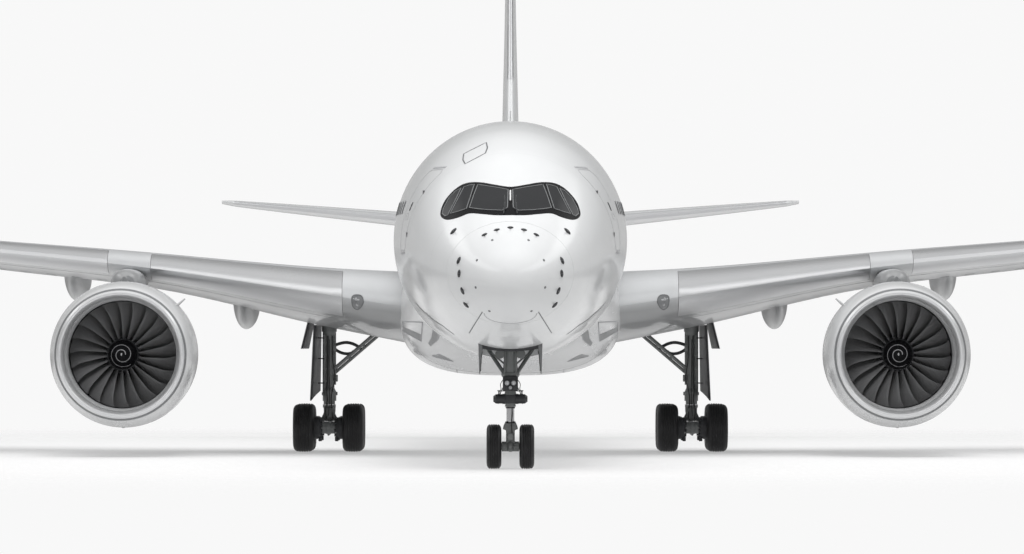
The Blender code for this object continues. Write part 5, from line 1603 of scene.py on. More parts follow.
# %% Cowl joints, latches and the strake
COWL_JOINTS = ((23.42, 1.957), (25.95, 1.949), (27.6, 1.80))
HATCH_CORNERS = (
    ((-1.15, 24.1), (-1.15, 24.7), (-0.75, 24.7), (-0.75, 24.1)),
    ((0.8, 23.9), (0.8, 24.5), (1.2, 24.5), (1.2, 23.9)))
OVER_COWL = ENGINE_Z + 3
UNDER_COWL = ENGINE_Z - 2.7
STRAKE_ANGLE = math.radians(137)
STRAKE_THICK = 0.022
STRAKE = ((23.35, 0.00), (24.55, 0.255), (25.05, 0.25), (25.30, 0.00))
joints = [ring_at(y, radius) for y, radius in COWL_JOINTS]
for x, start_z, way in ((0.0, UNDER_COWL, UP), (-0.72, OVER_COWL, DOWN), (0.72, OVER_COWL, DOWN)):
    path = [(ENGINE_X + x, y, start_z) for y in steps(23.42, 27.6, 14)]
    joints.append(strip(cowl_tree, path, way, 0.014, 0.004))
for corners in HATCH_CORNERS:
    hatch = [(ENGINE_X + x, y, UNDER_COWL) for x, y in corners]
    joints.append(strip(cowl_tree, hatch, UP, 0.012, 0.004, closed=True))
publish_pair("cowl_joints", joints, SEAL)
latches = []
for y in (23.8, 24.6, 25.4, 26.4, 27.1):
    place, _ = land(cowl_tree, (ENGINE_X, y, 0), UP)
    latches.append(brick(
        place - Vector((0.035, 0.09, 0.012)), place + Vector((0.035, 0.09, 0.02)), 0.008))
publish_pair("cowl_latches", latches, STEEL)
crest = [(y, eased(COWL_FRONT, y)[1] + rise) for y, rise in STRAKE]
foot = [(y, radius - 0.03) for y, radius in reversed(outer) if 23.2 < y < 25.5]
strake = radial_plate(STRAKE_ANGLE, crest + foot, STRAKE_THICK)
publish_pair("cowl_strake", strake, COWL_PAINT)
print("cowl details ready")

# %% [markdown]
# ## Fan blades
# A wide-chord fan blade is a twisted, S-shaped wing: nearly square to the air at the hub and
# laid over by sixty degrees at the tip, with its tip swept round. Each of the 22 blades is
# skinned over thirteen sections read from five rows. The leading edges overlap the next blade,
# which leaves the dark curved gaps that make a fan recognisable from far away.

# %% Blades, spinner and spiral
BLADE_COUNT = 22
BLADE_Y = 23.70
BLADE_ROOT = 0.40
BLADE_TIP = 1.452
BLADE_ROWS = (
    (0.38, 0.44, 14.0, 0.0, 0.045), (0.68, 0.48, 30.0, -0.6, 0.040),
    (0.98, 0.51, 44.0, 0.4, 0.034), (1.22, 0.50, 53.0, 2.6, 0.026),
    (BLADE_TIP, 0.535, 60.0, 6.0, 0.017))
BEFORE_SPINNER = 22
SPINNER = ((22.925, 0.0), (22.935, 0.05), (22.97, 0.115), (23.05, 0.20), (23.16, 0.285),
           (23.30, 0.36), (23.42, 0.405))
HUB = ((23.425, 0.0), (23.425, 0.412), (23.60, 0.46), (24.00, 0.56), (24.00, 0.0))
AEROFOIL = ((-0.5, 0.0), (-0.44, 0.34), (-0.25, 0.5), (0.05, 0.46), (0.5, 0.04), (0.5, -0.04),
            (0.05, -0.30), (-0.25, -0.38), (-0.44, -0.26))
SPIRAL_TURNS = 1.86
SPIRAL_RADII = (0.095, 0.345)


def on_engine(radius, angle, y):
    """Gives a point round the left engine's axis."""
    return (ENGINE_X + radius * math.cos(angle), y, ENGINE_Z + radius * math.sin(angle))


def blade_ring(radius, spoke):
    """Gives the points round one section of a fan blade."""
    radius, chord, stagger, lead, thick = eased(BLADE_ROWS, radius)
    lean = math.radians(stagger)
    centre = spoke + math.radians(lead)
    ring = []
    for along, over in AEROFOIL:
        round_way = -along * chord * math.sin(lean) + over * thick * math.cos(lean)
        y = BLADE_Y + along * chord * math.cos(lean) + over * thick * math.sin(lean)
        ring.append(on_engine(radius, centre + round_way / radius, y))
    return ring


blades = gather([
    skin([blade_ring(radius, 2 * math.pi * number / BLADE_COUNT)
          for radius in steps(BLADE_ROOT, BLADE_TIP, 12)])
    for number in range(BLADE_COUNT)])
hub_shape = about_engine(HUB, 64, closed=False)
spinner_shape = about_engine(rounded(SPINNER, 4) + [(23.42, 0.0)], 64, closed=False)
spiral = [
    on_engine(radius, angle, BEFORE_SPINNER) for radius, angle in zip(
        steps(*SPIRAL_RADII, 84), steps(0, 2 * math.pi * SPIRAL_TURNS, 84))]
spiral_shape = gather([
    strip(tree_of(spinner_shape), spiral, AHEAD, 0.024, 0.003, step=0.03),
    ball((ENGINE_X - 0.01, 22.932, ENGINE_Z + 0.005), 0.026, (1, 0.35, 1.5), 6)])
to_right = Matrix.Translation((-2 * ENGINE_X, 0, 0))
for side, place in (("left", Matrix.Identity(4)), ("right", to_right)):
    body = f"fan_{side}_body"
    publish(f"fan_blades_{side}", moved(blades, place), BLADE_METAL, body,
            [f"fan_{side}"], 50)
    publish(f"fan_hub_{side}", moved(hub_shape, place), DARK_GEAR, body)
    publish(f"fan_spinner_{side}", moved(spinner_shape, place), MASK_BLACK, body)
    publish(f"fan_spiral_{side}", moved(spiral_shape, place), SPIRAL_GREY, body)
print("fans bladed:", BLADE_COUNT, "blades each")

# %% [markdown]
# ## Engines: the hot end and the pylon
# Behind the fan, a row of outlet vanes holds the core in the duct. The core cowl ends in a ring
# nozzle with a plug in it, both of bare alloy stained by heat. The pylon starts as a rounded
# hood on top of the cowl and runs aft under the wing to a fine edge.

# %% Outlet vanes, core and plug
VANE_COUNT = 44
VANE_LEAN = 0.50
VANE_THICK = 0.02
VANE_EDGE = ((24.72, 0.70), (24.68, 1.535), (24.98, 1.545), (25.08, 0.78))
CORE = ((24.02, 0.60), (24.80, 0.80), (25.60, 0.985), (26.40, 1.045), (27.20, 1.055),
        (28.00, 1.02), (28.60, 0.955), (29.25, 0.875), (29.80, 0.80))
PLUG = ((29.10, 0.56), (29.60, 0.575), (30.05, 0.50), (30.50, 0.335), (31.00, 0.06))
# The vanes take the near-black dark_gear finish as painted shade, as dark as the duct behind the
# fan.
vanes = [
    radial_plate(2 * math.pi * (number + 0.5) / VANE_COUNT, VANE_EDGE, VANE_THICK, VANE_LEAN)
    for number in range(VANE_COUNT)]
publish_pair("outlet_vanes", vanes, DARK_GEAR)
core_profile = [(24.02, 0.0)] + rounded(CORE, 4) + [
    (29.80, 0.785), (29.10, 0.83), (29.10, 0.56)] + rounded(PLUG, 4)[1:] + [(31.00, 0.0)]
publish_pair("core_skin", about_engine(core_profile, 80, closed=False), HOT_METAL,
             replaces=["engine_core_{side}"])
core_rings = [ring_at(y, eased(CORE, y)[1], 0.02, 0.006) for y in (25.9, 27.6, 28.9)]
publish_pair("core_joints", core_rings, STEEL)
print("outlet vanes:", len(vanes))

# %% The pylon
PYLON_ROWS = (
    (24.35, 0.10, 4.93, 4.62), (24.45, 0.22, 5.01, 4.58), (24.70, 0.35, 5.08, 4.55),
    (25.20, 0.42, 5.12, 4.55), (26.20, 0.44, 5.15, 4.50), (26.35, 0.44, 5.15, 4.22),
    (28.22, 0.42, 5.15, 4.22), (28.36, 0.42, 5.15, 3.32), (30.20, 0.36, 5.15, 3.42),
    (31.60, 0.26, 5.12, 4.00), (33.20, 0.10, 4.98, 4.42))
PYLON_SHOULDER = 0.34
PYLON_SEAMS = ((25.2, 4.66), (29.4, 3.7), (31.2, 3.7))
PYLON_RECESS = ((-0.12, 4.72), (-0.10, 4.84), (-0.02, 4.925), (0.10, 4.945), (0.20, 4.89),
                (0.25, 4.80), (0.26, 4.72))


def pylon_ring(y, half, top, bottom):
    """Gives the points round the pylon at one station, with a rounded back."""
    shoulder = min(PYLON_SHOULDER, (top - bottom) * 0.8)
    keel = half * 0.8
    back = [
        (ENGINE_X + half * math.cos(a), y, top - shoulder + shoulder * math.sin(a) ** 0.9)
        for a in steps(0, math.pi, 16)]
    return [(ENGINE_X + keel, y, bottom), *back, (ENGINE_X - keel, y, bottom)]


pylon_stations = sorted({round(y, 3) for y in steps(24.35, 33.20, 34)}
                        | {row[0] for row in PYLON_ROWS})
pylon_shape = skin([pylon_ring(*eased(PYLON_ROWS, y)) for y in pylon_stations])
pylon_tree = tree_of(pylon_shape)
publish_pair("pylon_skin", pylon_shape, WING_PAINT, replaces=["pylon_{side}"],
             sharp=40)
pylon_lines = []
for y, low in PYLON_SEAMS:
    for way in (-1, 1):
        path = [(ENGINE_X - way * 2, y, z) for z in steps(low, 4.78, 6)]
        pylon_lines.append(strip(pylon_tree, path, (way, 0, 0), 0.014, 0.004))
publish_pair("pylon_joints", pylon_lines, SEAL)
intake = plate_on(pylon_tree, [(ENGINE_X - x, 23, z) for x, z in PYLON_RECESS], AHEAD, 0.012)
publish_pair("pylon_intake", intake, INTAKE_GREY)
print("pylons ready")

# %% [markdown]
# ## Tyres and wheels
# An aircraft tyre is nearly as wide as it is deep, with round shoulders, a flat crown and a few
# grooves that run all the way round. One outline holds the grooves, so a single spin makes
# them. The rim is turned too, with round holes and a circle of bolts on its disc. The gear's
# other parts are mostly bars and boxes, listed in tables whose places are measured from the
# foot of their own leg.

# %% Tyres, rims and tables of bars
GROOVE_DEPTH = 0.018
CROWN_HALF = 0.29


def tyre_shape(centre, width, radius, bead, grooves):
    """Turns a tyre with round shoulders and grooves in its crown."""
    shoulder = [(0.36, bead), (0.455, bead + 0.06 * radius), (0.495, bead + 0.18 * radius),
                (0.50, radius * 0.72), (0.482, radius * 0.825), (0.435, radius * 0.908),
                (0.365, radius * 0.962), (CROWN_HALF, radius * 0.987)]
    right = [(x * width, r) for x, r in rounded(shoulder, 4)]
    crown = []
    for k in range(grooves):
        x = (k - (grooves - 1) / 2) * 2 * CROWN_HALF * width / grooves
        edge = radius * (1 - 0.013 * (x / (CROWN_HALF * width)) ** 2)
        low = edge - GROOVE_DEPTH
        crown += [(x - 0.012, edge), (x - 0.008, low), (x + 0.008, low), (x + 0.012, edge)]
    left = [(-x, r) for x, r in right]
    return turn(left + crown + right[::-1], centre, "X", 72)


def rim_shape(centre, offset, side, width, rim, axle, holes):
    """Turns one wheel's rim and disc, with a ring of holes and one of bolts."""
    inner = offset - 0.36 * width
    outer = offset + 0.36 * width
    profile = [
        (outer, rim), (outer + 0.008, rim + 0.022), (outer - 0.02, rim + 0.010),
        (outer - 0.05, rim * 0.90), (outer - 0.13, rim * 0.84), (outer - 0.16, rim * 0.66),
        (outer - 0.12, rim * 0.46), (outer - 0.03, axle * 1.32), (outer + 0.02, axle * 1.18),
        (outer + 0.03, axle * 0.7), (outer + 0.03, 0.0), (inner, 0.0), (inner, axle * 1.5),
        (inner + 0.05, rim * 0.86), (inner + 0.02, rim + 0.010), (inner - 0.008, rim + 0.022),
        (inner, rim)]
    parts = [turn([(side * a, r) for a, r in profile], centre, "X", 64)]
    face = centre[0] + side * (outer - 0.155)
    for turned, reach, low, high, radius, sides in (
            (0.0, 0.75, -0.02, 0.02 + side * 0.012, 0.085, 14),
            (0.5, 0.56, 0.0, side * 0.045, 0.045, 6)):
        for k in range(holes):
            angle = 2 * math.pi * (k + turned) / holes
            y = centre[1] + math.cos(angle) * rim * reach
            z = centre[2] + math.sin(angle) * rim * reach
            parts.append(bar((face + low, y, z), (face + high, y, z), rim * radius, sides))
    return gather(parts)


def both_sides(rows):
    """Gives rows of bars twice, with x turned round for the right side."""
    return [
        ((side * start[0], *start[1:]), (side * end[0], *end[1:]), *rest)
        for side in (-1, 1) for start, end, *rest in rows]


def bars(origin, rows):
    """Makes a bar from each row: its ends from the origin, its radius and its sides."""
    return [bar(origin + Vector(start), origin + Vector(end), *rest) for start, end, *rest in rows]


def bricks(origin, rows):
    """Makes a rounded box from each row: its corners from the origin, and its bevel."""
    return [brick(origin + Vector(low), origin + Vector(high), *rest) for low, high, *rest in rows]


def hose(origin, points, radius, side=1, smooth=8, sides=8):
    """Makes a hose on a curve through points that are measured from the origin."""
    path = curve([origin + Vector((side * x, y, z)) for x, y, z in points], smooth)
    return tube(path, radius, sides)


def fork_shape(origin, half_outline, depth, bevel):
    """Makes a fork from the left half of its outline, seen from ahead."""
    outline = [origin + Vector((x, -depth / 2, z)) for x, z in half_outline]
    outline += [origin + Vector((-x, -depth / 2, z)) for x, z in reversed(half_outline)]
    return softened(prism(outline, (0, depth, 0)), bevel)


print("wheel tools ready")

# %% [markdown]
# ## The nose gear
# The nose leg is one machined forging, braced by two diagonal struts up to the bay's walls. It
# carries a box of taxi lamps, a collar with the two steering jacks and, below it, the chromed
# piston that turns with the wheels. Fixed parts ride on the airframe, the piston and fork ride
# on the steered leg, and the wheels on their own body, so each keeps its place in every pose.

# %% The fixed leg, its braces, jacks, lamps and hoses
NOSE = Vector((0, NOSE_GEAR_Y, 0))
NOSE_LEG_BARS = (
    ((0, 0, 1.80), (0, 0, 4.20), 0.105, 24), ((0, 0, 1.845), (0, 0, 1.95), 0.155, 28, 0.125),
    ((0, 0, 1.60), (0, 0, 1.85), 0.128, 28), ((0, 0, 1.545), (0, 0, 1.60), 0.140, 28, 0.128),
    ((-0.78, 0, 4.02), (0.78, 0, 4.02), 0.09, 20))
NOSE_LEG_SIDES = (
    ((0.125, 0.01, 2.28), (0.125, 0.01, 3.95), 0.042, 14),
    ((0.145, 0.08, 2.34), (0.74, 1.03, 3.26), 0.050, 14),
    ((0.145, 0.02, 2.60), (0.5139, 0.669, 2.9104), 0.024, 10),
    ((0.262, -0.07, 2.845), (0.262, 0.11, 2.845), 0.115, 24),
    ((0.262, -0.09, 2.845), (0.262, 0.13, 2.845), 0.055, 16),
    ((0.12, 0, 2.95), (0.27, 0, 2.92), 0.03, 10))
NOSE_LEG_BRICKS = (
    ((-0.165, -0.12, 2.28), (0.165, 0.14, 2.40), 0.03),
    ((-0.16, -0.14, 3.86), (0.16, 0.14, 4.18), 0.04))
JACK_BARS = (
    ((-0.36, 0, 1.735), (0.36, 0, 1.735), 0.118, 26),
    ((-0.20, 0, 1.735), (0.20, 0, 1.735), 0.128, 26))
JACK_SIDES = (
    ((0.36, 0, 1.735), (0.425, 0, 1.735), 0.118, 26, 0.070),
    ((0.29, 0, 1.735), (0.315, 0, 1.735), 0.127, 26),
    ((0.285, -0.02, 1.84), (0.285, -0.02, 1.945), 0.018, 10),
    ((0.285, -0.02, 1.925), (0.285, -0.02, 1.95), 0.038, 12),
    ((0.285, -0.02, 1.93), (0.13, -0.02, 1.93), 0.010, 8))
JACK_BRICK = ((-0.13, -0.15, 1.62), (0.13, 0.10, 1.84), 0.03)
LAMP_BOX = ((-0.19, -0.25, 1.935), (0.19, -0.06, 2.295), 0.018)
LAMPS = ((-0.082, 2.13, 0.064), (0.082, 2.13, 0.064), (0.0, 2.012, 0.048))
NOSE_HOSES = (
    (((0.10, 0.13, 2.9), (0.17, 0.16, 2.5), (0.16, 0.15, 2.1), (0.24, 0.12, 1.90),
      (0.26, 0.06, 1.80)), 0.013),
    (((0.19, -0.10, 2.20), (0.245, -0.10, 2.10), (0.235, -0.08, 1.98), (0.285, -0.04, 1.90)),
     0.009))
leg_parts = bars(NOSE, [*NOSE_LEG_BARS, *both_sides(NOSE_LEG_SIDES)])
leg_parts += bricks(NOSE, NOSE_LEG_BRICKS)
leg_parts += [ball(NOSE + Vector((side * 0.145, 0.08, 2.34)), 0.085, detail=8) for side in (-1, 1)]
publish("nose_leg_forging", leg_parts, GEAR_PAINT, replaces=["nose_leg"])
jack_parts = bars(NOSE, [*JACK_BARS, *both_sides(JACK_SIDES)]) + bricks(NOSE, [JACK_BRICK])
publish("steering_jacks", jack_parts, DARK_GEAR)

front_y = NOSE_GEAR_Y + LAMP_BOX[0][1]
lamp_parts = bricks(NOSE, [LAMP_BOX])
for x, z, radius in LAMPS:
    inside, outside = radius + 0.006, radius + 0.016
    lamp_parts.append(turn(
        [(-0.045, inside), (-0.045, outside), (0.0, outside), (0.0, inside)],
        (x, front_y, z), "Y", 28))
publish("lamp_box", lamp_parts, DARK_GEAR)
lenses = [ball((x, front_y - 0.012, z), radius, (1, 0.34, 1), 10) for x, z, radius in LAMPS]
publish("lamp_lenses", lenses, LAMP_GLASS)
hoses = [hose(NOSE, path, radius, side, 6) for side in (-1, 1) for path, radius in NOSE_HOSES]
publish("nose_leg_hoses", hoses, RUBBER)
print("nose leg parts:", len(leg_parts))

# %% The steered piston, fork and links
NOSE_FORK = ((0.098, 1.15), (0.104, 1.20), (0.125, 1.17), (0.172, 1.07), (0.188, 0.985),
             (0.135, 0.97), (0.108, 0.955), (0.108, 0.70), (0.125, 0.62))
STEERED_BARS = (
    ((0, 0, 0.66), (0, 0, 1.12), 0.108, 26),
    ((-0.215, 0, NOSE_TYRE_RADIUS), (0.215, 0, NOSE_TYRE_RADIUS), 0.125, 26),
    ((-0.10, -0.24, 0.80), (0.10, -0.24, 0.80), 0.034, 14),
    ((-0.075, 0.45, 1.21), (0.075, 0.45, 1.21), 0.038, 16))
STEERED_LINKS = (
    ((0.055, 0.10, 1.47), (0.03025, 0.45, 1.23), 0.026, 12),
    ((0.055, 0.45, 1.19), (0.03025, 0.10, 0.96), 0.026, 12))
TOW_LUG = ((-0.07, -0.30, 0.72), (0.07, -0.08, 0.88), 0.015)
COLLAR = (
    (1.50, 0.09), (1.50, 0.112), (1.508, 0.118), (1.532, 0.118), (1.54, 0.112), (1.54, 0.09))
COLLAR_BRICK = ((-0.06, 0.06, 1.43), (0.06, 0.17, 1.52), 0.012)
PISTON_HOSE = ((0.045, -0.10, 1.50), (0.05, -0.115, 1.35), (0.035, -0.125, 1.18),
               (0.03, -0.135, 1.02), (0.055, -0.135, 0.80))
steered_parts = bars(NOSE, [*STEERED_BARS, *both_sides(STEERED_LINKS)]) + bricks(NOSE, [TOW_LUG])
steered_parts.append(fork_shape(NOSE, NOSE_FORK, 0.23, 0.018))
steered_parts.append(
    ball((0, NOSE_GEAR_Y - 0.02, NOSE_TYRE_RADIUS + 0.01), 0.155, (0.85, 1, 0.95)))
publish("nose_fork", steered_parts, GEAR_PAINT, "steered_leg",
        ["nose_steered_leg"])
collar_parts = [turn(COLLAR, NOSE, "Z", 40), *bricks(NOSE, [COLLAR_BRICK])]
publish("nose_clamp", collar_parts, DARK_GEAR, "steered_leg")
piston = bars(NOSE, [((0, 0, 1.08), (0, 0, 1.55), 0.097, 40)])
publish("nose_piston", piston, CHROME, "steered_leg")
publish("nose_piston_hose", hose(NOSE, PISTON_HOSE, 0.011), RUBBER, "steered_leg")
print("steered parts:", len(steered_parts))

# %% The nose wheels
NOSE_HUB = (0, NOSE_GEAR_Y, NOSE_TYRE_RADIUS)
NOSE_OFFSET = 0.407
NOSE_TYRE_WIDTH = 0.37
NOSE_BEAD = 0.29
rims = [
    rim_shape(NOSE_HUB, NOSE_OFFSET, side, NOSE_TYRE_WIDTH, NOSE_BEAD, 0.10, 9)
    for side in (-1, 1)]
rims += bars(Vector(NOSE_HUB), [((-0.50, 0, 0), (0.50, 0, 0), 0.085, 24)])
publish("nose_rims", rims, RIM_PAINT, "nose_wheel_pair", ["nose_wheels"])
for side, way in (("left", 1), ("right", -1)):
    tyre = tyre_shape((way * NOSE_OFFSET, *NOSE_HUB[1:]), NOSE_TYRE_WIDTH, NOSE_TYRE_RADIUS,
                      NOSE_BEAD + 0.001, 4)
    publish(f"nose_tyre_skin_{side}", tyre, TYRE_RUBBER, "nose_wheel_pair",
            [f"nose_tyre_{side}"])
print("nose wheels ready")

# %% The bay's doors, frame and linings
DOOR_SECTION = ((0.79, 3.10), (0.783, 2.80), (0.775, 2.50), (0.768, 2.335), (0.750, 2.335),
                (0.742, 2.50), (0.722, 2.80), (0.682, 2.98), (0.66, 3.075), (0.71, 3.14))
DOOR_BOTTOM = 2.335
DOOR_ENDS = ((3.64, 0.20), (3.70, 0.06), (3.80, 0.0), (6.40, 0.0), (6.50, 0.06), (6.56, 0.20))
FRAME_HALF = 0.69
OUTWARD = (1, 0, 0)
door_shape = skin([
    [(x, y, max(z, DOOR_BOTTOM + tuck)) for x, z in DOOR_SECTION] for y, tuck in DOOR_ENDS])
door_tree = tree_of(door_shape)
publish_pair("nose_door_skin", door_shape, BELLY_PAINT,
             replaces=["nose_door_{side}"])
rib_lines = [
    strip(door_tree, [(0, y, z) for z in steps(2.42, 2.92, 6)], OUTWARD, 0.05, 0.012)
    for y in steps(3.95, 6.25, 6)]
rib_lines.append(
    strip(door_tree, [(0, y, 2.62) for y in steps(3.75, 6.45, 12)], OUTWARD, 0.04, 0.016))
publish_pair("nose_door_ribs", rib_lines, DARK_GEAR)
front_edge = prism([(x, 3.625, max(z, 2.36)) for x, z in DOOR_SECTION], (0, 0.05, 0))
publish_pair("nose_door_edges", front_edge, INTAKE_GREY)

frame_rings = []
for x in steps(-FRAME_HALF, FRAME_HALF, 24):
    place, _ = land(body_tree, (x, 3.62, 0), UP)
    top = place.z + 0.05
    bottom = place.z - 0.055 - 0.04 * (x / FRAME_HALF) ** 2
    frame_rings.append([(x, 3.615, top), (x, 3.66, top), (x, 3.66, bottom), (x, 3.615, bottom)])
publish("bay_front_frame", skin(frame_rings), DARK_GEAR)
linings = []
for y in steps(3.95, 6.3, 7):
    for x in (-0.775, 0.775):
        linings.append(brick((x - 0.012, y - 0.03, 3.16), (x + 0.012, y + 0.03, 4.22), 0.005))
    linings.append(brick((-0.76, y - 0.025, 4.19), (0.76, y + 0.025, 4.24), 0.005))
publish("bay_ribs", linings, BAY_PAINT)
print("bay linings:", len(linings))

# %% [markdown]
# ## The main gear
# Each main leg carries a four-wheel bogie. The leg is a forged tube with two thinner tubes and
# its pipes beside it; a pair of parallel side stays takes the cornering load, kept straight by
# a little pair of curved links. Brakes sit between the wheels and the beam. Most of it is bars
# and turned shapes at real places, and only the hoses are curved through listed points.

# %% The main leg
MX, MY = MAIN_GEAR
LEG = Vector((MX, MY, 0))
LEG_BARS = (
    ((-0.02, 0, 1.50), (-0.02, 0, 3.45), 0.128, 28),
    ((0.135, -0.02, 1.62), (0.135, -0.02, 3.50), 0.060, 18),
    ((-0.150, -0.02, 1.90), (-0.150, -0.02, 3.50), 0.045, 16),
    ((0, 0, 3.42), (0, 0, 3.74), 0.215, 32), ((0, 0, 3.32), (0, 0, 3.43), 0.16, 28, 0.205),
    ((-0.005, 0, 1.44), (-0.005, 0, 1.70), 0.196, 32),
    ((-0.005, 0, 1.70), (-0.005, 0, 1.80), 0.196, 32, 0.15),
    ((0, 0, 1.33), (0, 0, 1.44), 0.165, 28), ((0, 0, 1.25), (0, 0, 1.33), 0.185, 28),
    ((0, 0, 1.215), (0, 0, 1.25), 0.165, 28),
    ((-0.09, 0.55, 1.32), (0.09, 0.55, 1.32), 0.045, 16))
LEG_LINKS = (
    ((0.07, 0.14, 1.64), (0.04, 0.55, 1.34), 0.034, 12),
    ((0.07, 0.55, 1.30), (0.04, 0.16, 0.99), 0.034, 12))
LEG_BRICKS = (
    ((-0.235, -0.05, 1.60), (-0.17, 0.05, 1.70), 0.012),
    ((0.17, -0.05, 1.60), (0.215, 0.05, 1.69), 0.012),
    ((-0.245, -0.10, 1.99), (-0.14, 0.06, 2.19), 0.018),
    ((-0.20, -0.10, 2.19), (-0.08, 0.09, 2.42), 0.025),
    ((-0.20, -0.09, 2.86), (-0.08, 0.09, 3.06), 0.02))
CLAMPS_Z = (2.0, 2.35, 2.75, 3.1)
MAIN_FORK = ((0.155, 1.24), (0.155, 1.10), (0.205, 1.00), (0.225, 0.90), (0.20, 0.865))
PISTON_BARS = (
    ((0, 0, 1.05), (0, 0, 1.27), 0.142, 36), ((0, 0, 1.322), (0, 0, 1.338), 0.188, 36))
leg_parts = bars(LEG, [*LEG_BARS, *both_sides(LEG_LINKS)]) + bricks(LEG, LEG_BRICKS)
leg_parts += bricks(LEG, [
    ((-0.185, -0.09, z - 0.025), (0.19, -0.02, z + 0.025), 0.012) for z in CLAMPS_Z])
leg_parts.append(fork_shape(LEG, MAIN_FORK, 0.48, 0.025))
publish_pair("main_leg_forging", leg_parts, GEAR_PAINT,
             replaces=["main_leg_{side}"])
publish_pair("main_piston", bars(LEG, PISTON_BARS), CHROME)
print("main leg parts:", len(leg_parts))

# %% Side stays, curved links and pipes
STAY_TOP = Vector((3.66, MY, 3.486))
STAY_FOOT = Vector((5.06, MY, 2.282))
LOCK_LINKS = (
    ((5.06, 3.01), (4.90, 3.075), (4.70, 3.11), (4.50, 3.07), (4.30, 2.965)),
    ((5.06, 2.955), (4.93, 2.86), (4.78, 2.80), (4.62, 2.79), (4.48, 2.835)))
LINK_PINS = ((5.05, 2.985), (4.31, 2.965), (4.49, 2.835))
LEG_PIPES = (
    (((-0.09, -0.15, 3.3), (-0.10, -0.16, 2.6), (-0.14, -0.16, 2.35), (-0.17, -0.15, 2.05),
      (-0.10, -0.17, 1.80), (-0.06, -0.20, 1.50), (-0.08, -0.22, 1.20), (-0.10, -0.27, 0.95)),
     0.014),
    (((0.04, -0.14, 3.3), (0.045, -0.14, 2.3), (0.07, -0.19, 1.75), (0.05, -0.21, 1.5),
      (0.10, -0.24, 1.2), (0.08, -0.28, 0.92)), 0.012),
    (((0.0, -0.14, 3.2), (0.0, -0.14, 2.2), (-0.01, -0.20, 1.7), (0.0, -0.22, 1.3),
      (0.02, -0.29, 1.0)), 0.010),
    (((-0.12, 0.12, 3.2), (-0.13, 0.16, 2.2), (-0.12, 0.22, 1.6), (-0.16, 0.24, 1.2),
      (-0.12, 0.32, 0.92)), 0.014))
stay_way = (STAY_TOP - STAY_FOOT).normalized()
stay_side = Vector((stay_way.z, 0, -stay_way.x))
stay_parts = bars(STAY_FOOT, [((0, -0.12, 0), (0, 0.12, 0), 0.088, 20)])
for shift, front, radius in ((0.045, -0.05, 0.052), (-0.058, 0.02, 0.046)):
    offset = stay_side * shift + Vector((0, front, 0))
    stay_parts.append(bar(STAY_FOOT + offset, STAY_TOP + offset, radius, 16))
for share in (0.06, 0.33, 0.62, 0.9):
    spot = STAY_FOOT.lerp(STAY_TOP, share)
    stay_parts.append(bar(spot + stay_side * 0.09, spot - stay_side * 0.09, 0.040, 12))
publish_pair("side_stays", stay_parts, GEAR_PAINT, replaces=["main_stay_{side}"])
link_plane = Vector((0, MY - 0.02, 0))
links = [
    hose(link_plane, [(x, 0, z) for x, z in points], 0.046, sides=10) for points in LOCK_LINKS]
links += [ball(link_plane + Vector((x, 0, z)), 0.06, detail=8) for x, z in LINK_PINS]
publish_pair("stay_lock_links", links, DARK_GEAR)
pipes = [hose(LEG, path, radius) for path, radius in LEG_PIPES]
publish_pair("main_leg_pipes", pipes, RUBBER)
print("stay parts:", len(stay_parts), "pipes:", len(pipes))

# %% The bogie beam, the brakes and the wheels
AXLES = (("front", -1.02), ("rear", 1.02))
WHEEL_OFFSET = 0.7035
TYRE_WIDTH = 0.60
BEAD = 0.34
BEAM_BARS = (
    ((0, -1.02, MAIN_TYRE_RADIUS), (0, 1.02, MAIN_TYRE_RADIUS), 0.135, 28),
    ((-0.19, 0, 0.74), (0.19, 0, 0.74), 0.075, 20),
    ((0, -0.95, 0.49), (0, 0.95, 0.49), 0.035, 12))
BEAM_BRICK = ((-0.15, -0.26, 0.52), (0.15, 0.26, 0.852), 0.05, 3)
BRAKE_BARS = (((0.22, 0, 0), (0.30, 0, 0), 0.27, 32, 0.31), ((0.30, 0, 0), (0.47, 0, 0), 0.318, 40))
BRAKE_CYLINDERS = 8
CYLINDER_CIRCLE = 0.215
BRAKE_HOSE = ((0.06, -0.20, 0.20), (0.12, -0.26, 0.27), (0.20, -0.24, 0.28), (0.24, -0.18, 0.22))
cylinders = []
for k in range(BRAKE_CYLINDERS):
    angle = 2 * math.pi * (k + 0.5) / BRAKE_CYLINDERS
    y, z = CYLINDER_CIRCLE * math.cos(angle), CYLINDER_CIRCLE * math.sin(angle)
    cylinders.append(((0.17, y, z), (0.27, y, z), 0.048, 14))
beam_parts = bars(LEG, BEAM_BARS) + bricks(LEG, [BEAM_BRICK])
brakes = []
for _, shift in AXLES:
    hub = LEG + Vector((0, shift, MAIN_TYRE_RADIUS))
    beam_parts += bars(hub, [((-0.20, 0, 0), (0.20, 0, 0), 0.165, 28)])
    beam_parts.append(ball(hub, 0.185, (0.9, 1, 1)))
    brakes += bars(hub, both_sides([*BRAKE_BARS, *cylinders]))
    for side in (-1, 1):
        brakes.append(hose(hub, BRAKE_HOSE, 0.013, side, 6))
        brakes += bricks(hub, [
            ((side * 0.235 - 0.05, -0.09, -0.38), (side * 0.235 + 0.05, 0.05, -0.25), 0.018)])
publish_pair("bogie_casting", beam_parts, GEAR_PAINT,
             replaces=["bogie_beam_{side}"])
publish_pair("brakes", brakes, DARK_GEAR)
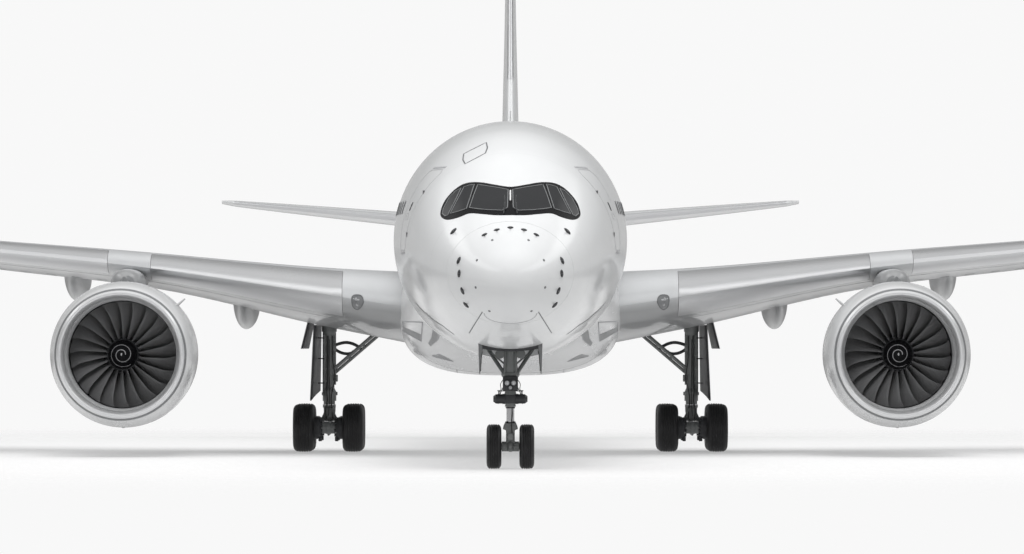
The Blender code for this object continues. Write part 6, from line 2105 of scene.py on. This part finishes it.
for end, shift in AXLES:
    hub = LEG + Vector((0, shift, MAIN_TYRE_RADIUS))
    rims = [rim_shape(hub, WHEEL_OFFSET, side, TYRE_WIDTH, BEAD, 0.12, 12) for side in (-1, 1)]
    rims += bars(hub, [((-0.88, 0, 0), (0.88, 0, 0), 0.10, 24)])
    body = f"main_pair_{end}_" + "{side}"
    publish_pair(f"main_rims_{end}", rims, RIM_PAINT, body,
                 [f"main_wheels_{end}_" + "{side}"])
    for place, side in (("inner", -1), ("outer", 1)):
        tyre = tyre_shape(hub + Vector((side * WHEEL_OFFSET, 0, 0)), TYRE_WIDTH,
                          MAIN_TYRE_RADIUS, BEAD + 0.001, 5)
        publish_pair(f"main_tyre_skin_{end}_{place}", tyre, TYRE_RUBBER, body,
                     [f"main_tyre_{end}_{place}_" + "{side}"])
print("brake parts:", len(brakes))

# %% The leg door and the wing door
LEG_DOOR = ((-0.62, (5.60, 3.62), (5.70, 1.45)), (0.56, (5.44, 3.62), (5.47, 1.72)))
WING_DOOR = ((-0.62, (5.72, 3.90), (5.96, 2.93)), (0.56, (5.61, 3.90), (5.80, 2.93)))


def gear_door(edges, thick, bulge):
    """Skins a slightly crowned door between its front and rear edges, seen in x and z."""
    (front, front_top, front_foot), (rear, rear_top, rear_foot) = edges
    rings = []
    for share in (0.0, 0.02, 0.2, 0.4, 0.6, 0.8, 0.98, 1.0):
        top = Vector(front_top).lerp(Vector(rear_top), share)
        foot = Vector(front_foot).lerp(Vector(rear_foot), share)
        y = MY + front + (rear - front) * share
        crown = bulge * 4 * share * (1 - share)
        half = thick * (0.35 if share in (0.0, 1.0) else 0.5)
        middle = [top.lerp(foot, t) for t in (0.0, 0.25, 0.5, 0.75, 0.985, 1.0)]
        outer_side = [(p.x + half + crown, y, p.y) for p in middle]
        inner_side = [(p.x - half + crown, y, p.y) for p in middle[::-1]]
        rings.append(outer_side + inner_side)
    return skin(rings)


def lining(edges, thick, bulge):
    """Skins the dark inner face of a door, a little proud of its inside and its front edge."""
    inner = []
    for k, (y, top, foot) in enumerate(edges):
        inner.append((y + (-0.008 if k == 0 else -0.03), (top[0] - 0.012, top[1] - 0.03),
                      (foot[0] - 0.012, foot[1] + 0.015)))
    return gear_door(inner, thick, bulge)


publish_pair("leg_door_skin", gear_door(LEG_DOOR, 0.045, 0.02), WING_PAINT,
             replaces=["main_leg_door_{side}"])
publish_pair("wing_door_skin", gear_door(WING_DOOR, 0.05, 0.02), WING_PAINT)
door_inside = [lining(LEG_DOOR, 0.045, 0.02), lining(WING_DOOR, 0.05, 0.02)]
for z in (1.95, 2.65, 3.24):
    for y, door_x in ((MY - 0.08, 5.50), (MY + 0.10, 5.48)):
        door_inside.append(bar((MX + 0.14, y, z), (door_x, y, z), 0.017, 10))
publish_pair("leg_door_frame", door_inside, DARK_GEAR)
print("gear doors ready")
